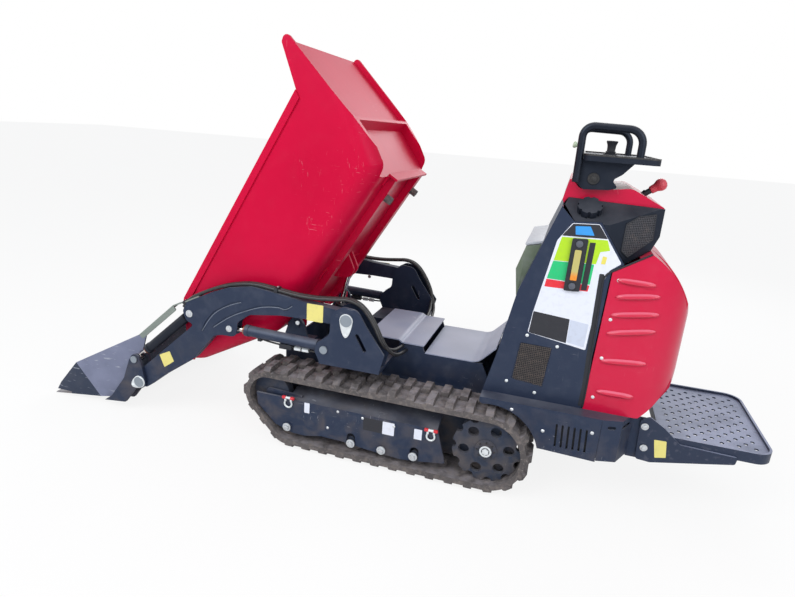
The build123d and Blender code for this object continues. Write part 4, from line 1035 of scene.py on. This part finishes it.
def add_lattice(bm, corners, pitch, radius, place_of):
    """Two layers of wires across an outline."""
    for axis in (0, 1):
        low = min(corner[axis] for corner in corners)
        high = max(corner[axis] for corner in corners)
        count = int((high - low) / pitch)
        for step in range(count):
            line = low + (high - low) * (step + 0.5) / count
            lift = radius * 1.2 * axis
            start, end = [place_of(*((reach, line) if axis else (line, reach)), lift)
                          for reach in span_across(corners, line, axis)]
            add_bar(bm, start, end, radius, sides=6, rim=0)


window = [(-66, 569), (-171, 566), (-158, 421), (-53, 432)]
# Dark plate behind the lower grille: painted shade for the space behind the window.
plates_from([window], side_face - 3, 0.6, 6, "lower_grille_back", seam_black, "black_paint")

bm = bmesh.new()
add_lattice(bm, window, pitch=6.5, radius=1.0,
            place_of=lambda ahead, up, lift: at(ahead, up, side_face - 1.4 + lift))
grille_wire = plain_finish("grille_wire", (0.1, 0.085, 0.08), 0.5, metallic=0.4, share=0.5)
pair_from(bm, "lower_grille_wires", grille_wire, "black_paint")

slant_front, slant_rear = Vector((-285.0, 301.0, 0)), Vector((-460.0, 209.0, 0))
slant_outward = (slant_front - slant_rear).cross(Vector((0, 0, -1))).normalized()


def on_slant(ahead, up, proud):
    """Place on the housing's slanted corner, or proud of it."""
    share = (ahead - slant_front.x) / (slant_rear.x - slant_front.x)
    left = slant_front.y + share * (slant_rear.y - slant_front.y)
    return at(ahead, up, left) + slant_outward * proud / 1000


intake = [(-340, 1012), (-374, 1036), (-426, 1046), (-430, 966), (-360, 905), (-338, 925)]
bm = bmesh.new()
add_patch(bm, [on_slant(*corner, -sunk) for corner in intake], slant_outward, 0.8, 8)
pair_from(bm, "intake_shadow", seam_black, "black_plastic")

bm = bmesh.new()
add_lattice(bm, intake, pitch=5.6, radius=0.9,
            place_of=lambda ahead, up, lift: on_slant(ahead, up, 1.2 + lift))
intake_wire = plain_finish("intake_wire", (0.11, 0.11, 0.125), metallic=0.5, share=0.3)
pair_from(bm, "intake_wires", intake_wire, "black_paint")

bm = bmesh.new()
rim_line = intake + intake[:1]
for first, second in zip(rim_line, rim_line[1:]):
    add_bar(bm, on_slant(*first, 1.0), on_slant(*second, 1.0), 2.6, sides=12, rim=0.8)
pair_from(bm, "intake_rim", seam_black, "black_plastic")

# %% [markdown]
# ## Behind the louvers
# The skirt's slots open onto the engine bay. A dark plate just behind them is
# painted shade for the dark bay, and keeps daylight from showing through the
# machine.

# %% Louver backs
skirt_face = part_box("skirts")[1].y * 1000
# Dark plate of painted shade behind the skirt's slots.
plates_from([[(-206, 342), (-372, 342), (-376, 214), (-214, 214)]], skirt_face - 12, 2, 4,
            "louver_backs", seam_black, "black_paint")

# %% [markdown]
# ## Screws and seams of the covers
# The moulded rear cover and the side panels are held by screws, and a rubber seam
# runs between them. Both are small, but without them the cover looks as if it
# were one block with the console.

# %% Cover screws and seams
cover_swell = 5
cover_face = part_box("rear_cover")[1].y * 1000 - cover_swell
bm = bmesh.new()
for spot in [(-345, 834), (-342, 700), (-337, 562), (-332, 416)]:
    add_screw(bm, at(*spot, cover_face - sunk), 6.0)
for spot in [(-84, 600), (-189, 576), (-35, 418), (-137, 392)]:
    add_screw(bm, at(*spot, side_face - sunk), 6.0)
pair_from(bm, "cover_screws", pale_zinc, "chrome_rod")

seam_line = [(-304, 372), (-308, 450), (-303, 580), (-301, 700), (-299, 790), (-297, 846),
             (-336, 870), (-430, 930)]
bm = bmesh.new()
add_tube(bm, [at(*place, side_face + 0.5) for place in seam_line], 3.0)
add_plate(bm, [(-288, 374), (-304, 374), (-309, 450), (-303, 700), (-299, 848), (-283, 848),
               (-285, 700), (-291, 450)], side_face - 0.1, 0.5, 4)
pair_from(bm, "cover_seams", seam_black, "black_plastic")

# %% [markdown]
# ## Ridges of the rear cover
# The cover is stiffened by ridges that are pressed outwards. Light shows them only
# when they have a round back, so a rounded bar lies over each slot of the solid
# model, with its ends drawn out to nothing. A sphere that is stretched along the
# ridge is the simplest shape with such ends. Their finish adds a painted
# highlight where they face up and a painted shade where they face down.

# %% Cover ridges
ridges = [(-348, 834, -452, 832), (-352, 779, -470, 797), (-346, 716, -478, 738),
          (-344, 652, -478, 680), (-342, 553, -470, 566), (-346, 440, -452, 442)]
ridge_up, ridge_out, ridge_over, ridge_blunt = 10.0, 12.0, 8, 0.55
# Painted light on the ridges: a paler crimson highlight where they face up and a darker crimson
# shade where they face down.
ridge_highlight_and_shade = Finish("ridge_crimson_highlight_and_shade", (0.58, 0.004, 0.045), 0.25, coat=0.6, gleam=0.4)
ridge_highlight_and_shade.lay(ridge_highlight_and_shade.ramp(ridge_highlight_and_shade.facing_up(), 0.45, 0.95, 0, 0.75), (0.88, 0.26, 0.38), 0.25)
ridge_highlight_and_shade.lay(ridge_highlight_and_shade.ramp(ridge_highlight_and_shade.facing_up(), -0.3, -0.9, 0, 0.8), (0.3, 0.002, 0.02), 0.4)
bm = bmesh.new()
for front_ahead, front_up, rear_ahead, rear_up in ridges:
    start, end = at(front_ahead, front_up, cover_face), at(rear_ahead, rear_up, cover_face)
    part = bmesh.new()
    bmesh.ops.create_uvsphere(part, u_segments=32, v_segments=20, radius=1.0)
    for vert in part.verts:
        vert.co.z = math.copysign(abs(vert.co.z) ** ridge_blunt, vert.co.z)
    half = (end - start).length * 1000 / 2 + ridge_over
    bmesh.ops.scale(part, vec=(ridge_up, ridge_out, half), verts=part.verts)
    merge(bm, part, workplane((start + end) / 2, end - start, (0, 1, 0)))
pair_from(bm, "cover_ridges", ridge_highlight_and_shade.done(), "crimson_plastic")

# %% [markdown]
# ## Controls
# The driver steers with a joystick between two hoops. Its rubber boot, stem and
# flared grip are one profile spun round the stick's axis. The tray round it has a
# raised rim, which is a flat face inset, emptied and extruded. A lever with a red
# grip stands behind the console, a round key switch sits in the pedestal's side,
# and a pale green button faces forward beyond it.

# %% Joystick
stick_ahead = -268
tray_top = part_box("control_tray")[1].z * 1000
bm = bmesh.new()
stick = [(0, -0.5), (24, -0.5), (24, 3), (20, 5), (21, 8), (17, 10), (18, 13), (14, 15), (14, 19),
         (15, 34), (19, 44), (20, 47), (18, 49.5), (6, 50), (0, 50)]
merge(bm, turned_part(stick, 36), workplane(at(stick_ahead, tray_top), (0, 0, 1), (1, 0, 0)))
joystick = piece_from(bm, "joystick_grip", seam_black, "black_plastic")
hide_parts("joystick")

# %% Tray rim
rim_round, rim_wide, rim_high = 30, 7, 5.5
tray_low, tray_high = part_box("control_tray")
tray_plan = [(tray_low.x, tray_low.y), (tray_high.x, tray_low.y), (tray_high.x, tray_high.y),
             (tray_low.x, tray_high.y)]
bm = bmesh.new()
corners = [bm.verts.new((x, y, tray_high.z - sunk / 1000)) for x, y in tray_plan]
bm.faces.new(corners)
round_off(bm, corners, rim_round / 1000, 8, "VERTICES")
border = bmesh.ops.inset_region(bm, faces=bm.faces[:], thickness=rim_wide / 1000, depth=0,
                                use_boundary=True, use_even_offset=True)["faces"]
inner = [face for face in bm.faces if face not in border]
bmesh.ops.delete(bm, geom=inner, context="FACES")
pull_out(bm, (0, 0, rim_high / 1000))
piece_from(bm, "tray_rim", hose_black, "black_plastic")

# %% Lever and switches
lever_left = 40
bm = bmesh.new()
add_bar(bm, at(-384, 1082, lever_left), at(-424, 1112, lever_left), 10)
merge(bm, turned_part([(0, -9), (15, -9), (15, -2), (11, 2), (11, 14), (0, 14)]),
      workplane(at(-396, 1090, lever_left), (-0.62, 0, 0.78)))
piece_from(bm, "lever_stem", seam_black, "black_plastic")

bm = bmesh.new()
grip = [(0, 0), (11, 0), (13.5, 2), (14.5, 14), (15, 20), (17, 24), (20.5, 31), (21.5, 38),
        (20, 46), (14.5, 53), (6.5, 57), (0, 57.5)]
merge(bm, turned_part(grip, 36), workplane(at(-417, 1107, lever_left), (-0.8, 0, 0.6)))
piece_from(bm, "lever_grip", grip_red, "crimson")

pedestal_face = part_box("control_pedestal")[1].y * 1000
key_place = (-218, 1140)
bm = bmesh.new()
merge(bm, turned_part([(0, -1), (19, -1), (19, 3), (17, 5), (14, 5), (13, 3.4), (0, 3.4)], 36),
      workplane(at(*key_place, pedestal_face)))
merge(bm, disc_part(8, 6, rim=1.5), workplane(at(*key_place, pedestal_face + 3)))
add_block(bm, at(*key_place, pedestal_face + 11), (4, 8, 15), 1.2)
piece_from(bm, "key_switch", hose_black, "black_plastic")

bm = bmesh.new()
merge(bm, turned_part([(0, 0), (7, 0), (7, 9), (11, 12), (12.5, 18), (10, 23), (0, 24.5)]),
      workplane(at(-158, 1236, -150), (1, 0, 0.15)))
button_green = plain_finish("button_green", (0.45, 0.55, 0.4), 0.35)
piece_from(bm, "horn_button", button_green, "grey_strip")

# %% [markdown]
# ## Document box
# The moulded box for papers hangs on the front of the console, lower than the
# solid model's plain block, so a box of its own stands for that block. Its side is
# drawn as one face, extruded across the machine, and beveled all round. Its lid is
# a second, paler and slightly larger slice on top.

# %% Document box
box_rounding = 2.0


def add_slice(bm, outline, half):
    """Slab across the machine from its side outline (ahead, up), beveled all round."""
    part = bmesh.new()
    part.faces.new([part.verts.new(at(ahead, up, -half)) for ahead, up in outline])
    pull_out(part, (0, 2 * half / 1000, 0))
    round_off(part, part.edges[:], box_rounding / 1000, 3)
    merge(bm, part)


bm = bmesh.new()
add_slice(bm, [(-86, 904), (-34, 892), (-8, 806), (-22, 702), (-25, 706), (-34, 749)], 200)
box_body = piece_from(bm, "paper_box", finishes["box_plastic"], "box_plastic")
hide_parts("document_box")

bm = bmesh.new()
add_slice(bm, [(-90, 916), (-30, 902), (-31, 893), (-87, 906)], 203)
lid_pale = plain_finish("lid_pale", (0.5, 0.53, 0.58), share=0.2)
piece_from(bm, "paper_box_lid", lid_pale, "grey_strip")

# %% [markdown]
# ## Footboard and skirts
# The folding footboard hangs between two brackets, each with two bolts. Its hinge
# plates carry a plain yellow plate, which moves with the board and so rides on its
# body. Screws hold the skirts, which don't move.

# %% Footboard fittings
board_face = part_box("footboard")[1].y * 1000
bracket_side_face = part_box("footboard_brackets")[1].y * 1000
bm = bmesh.new()
for spot in [(-522, 325), (-532, 244)]:
    add_bolt(bm, at(*spot, bracket_side_face - 0.4), 8.5)
pair_from(bm, "bracket_bolts", zinc, "chrome_rod")

plates_from([[(-560, 282), (-600, 284), (-609, 222), (-573, 214)]], board_face - sunk, 0.6, 3,
            "footboard_plates", plate_yellow, "grey_strip", "footboard")

# %% Skirt screws
bm = bmesh.new()
for spot in [(-185, 282), (-346, 311), (-70, 340)]:
    add_screw(bm, at(*spot, skirt_face - seated), 6.5)
pair_from(bm, "skirt_screws", zinc, "chrome_rod")
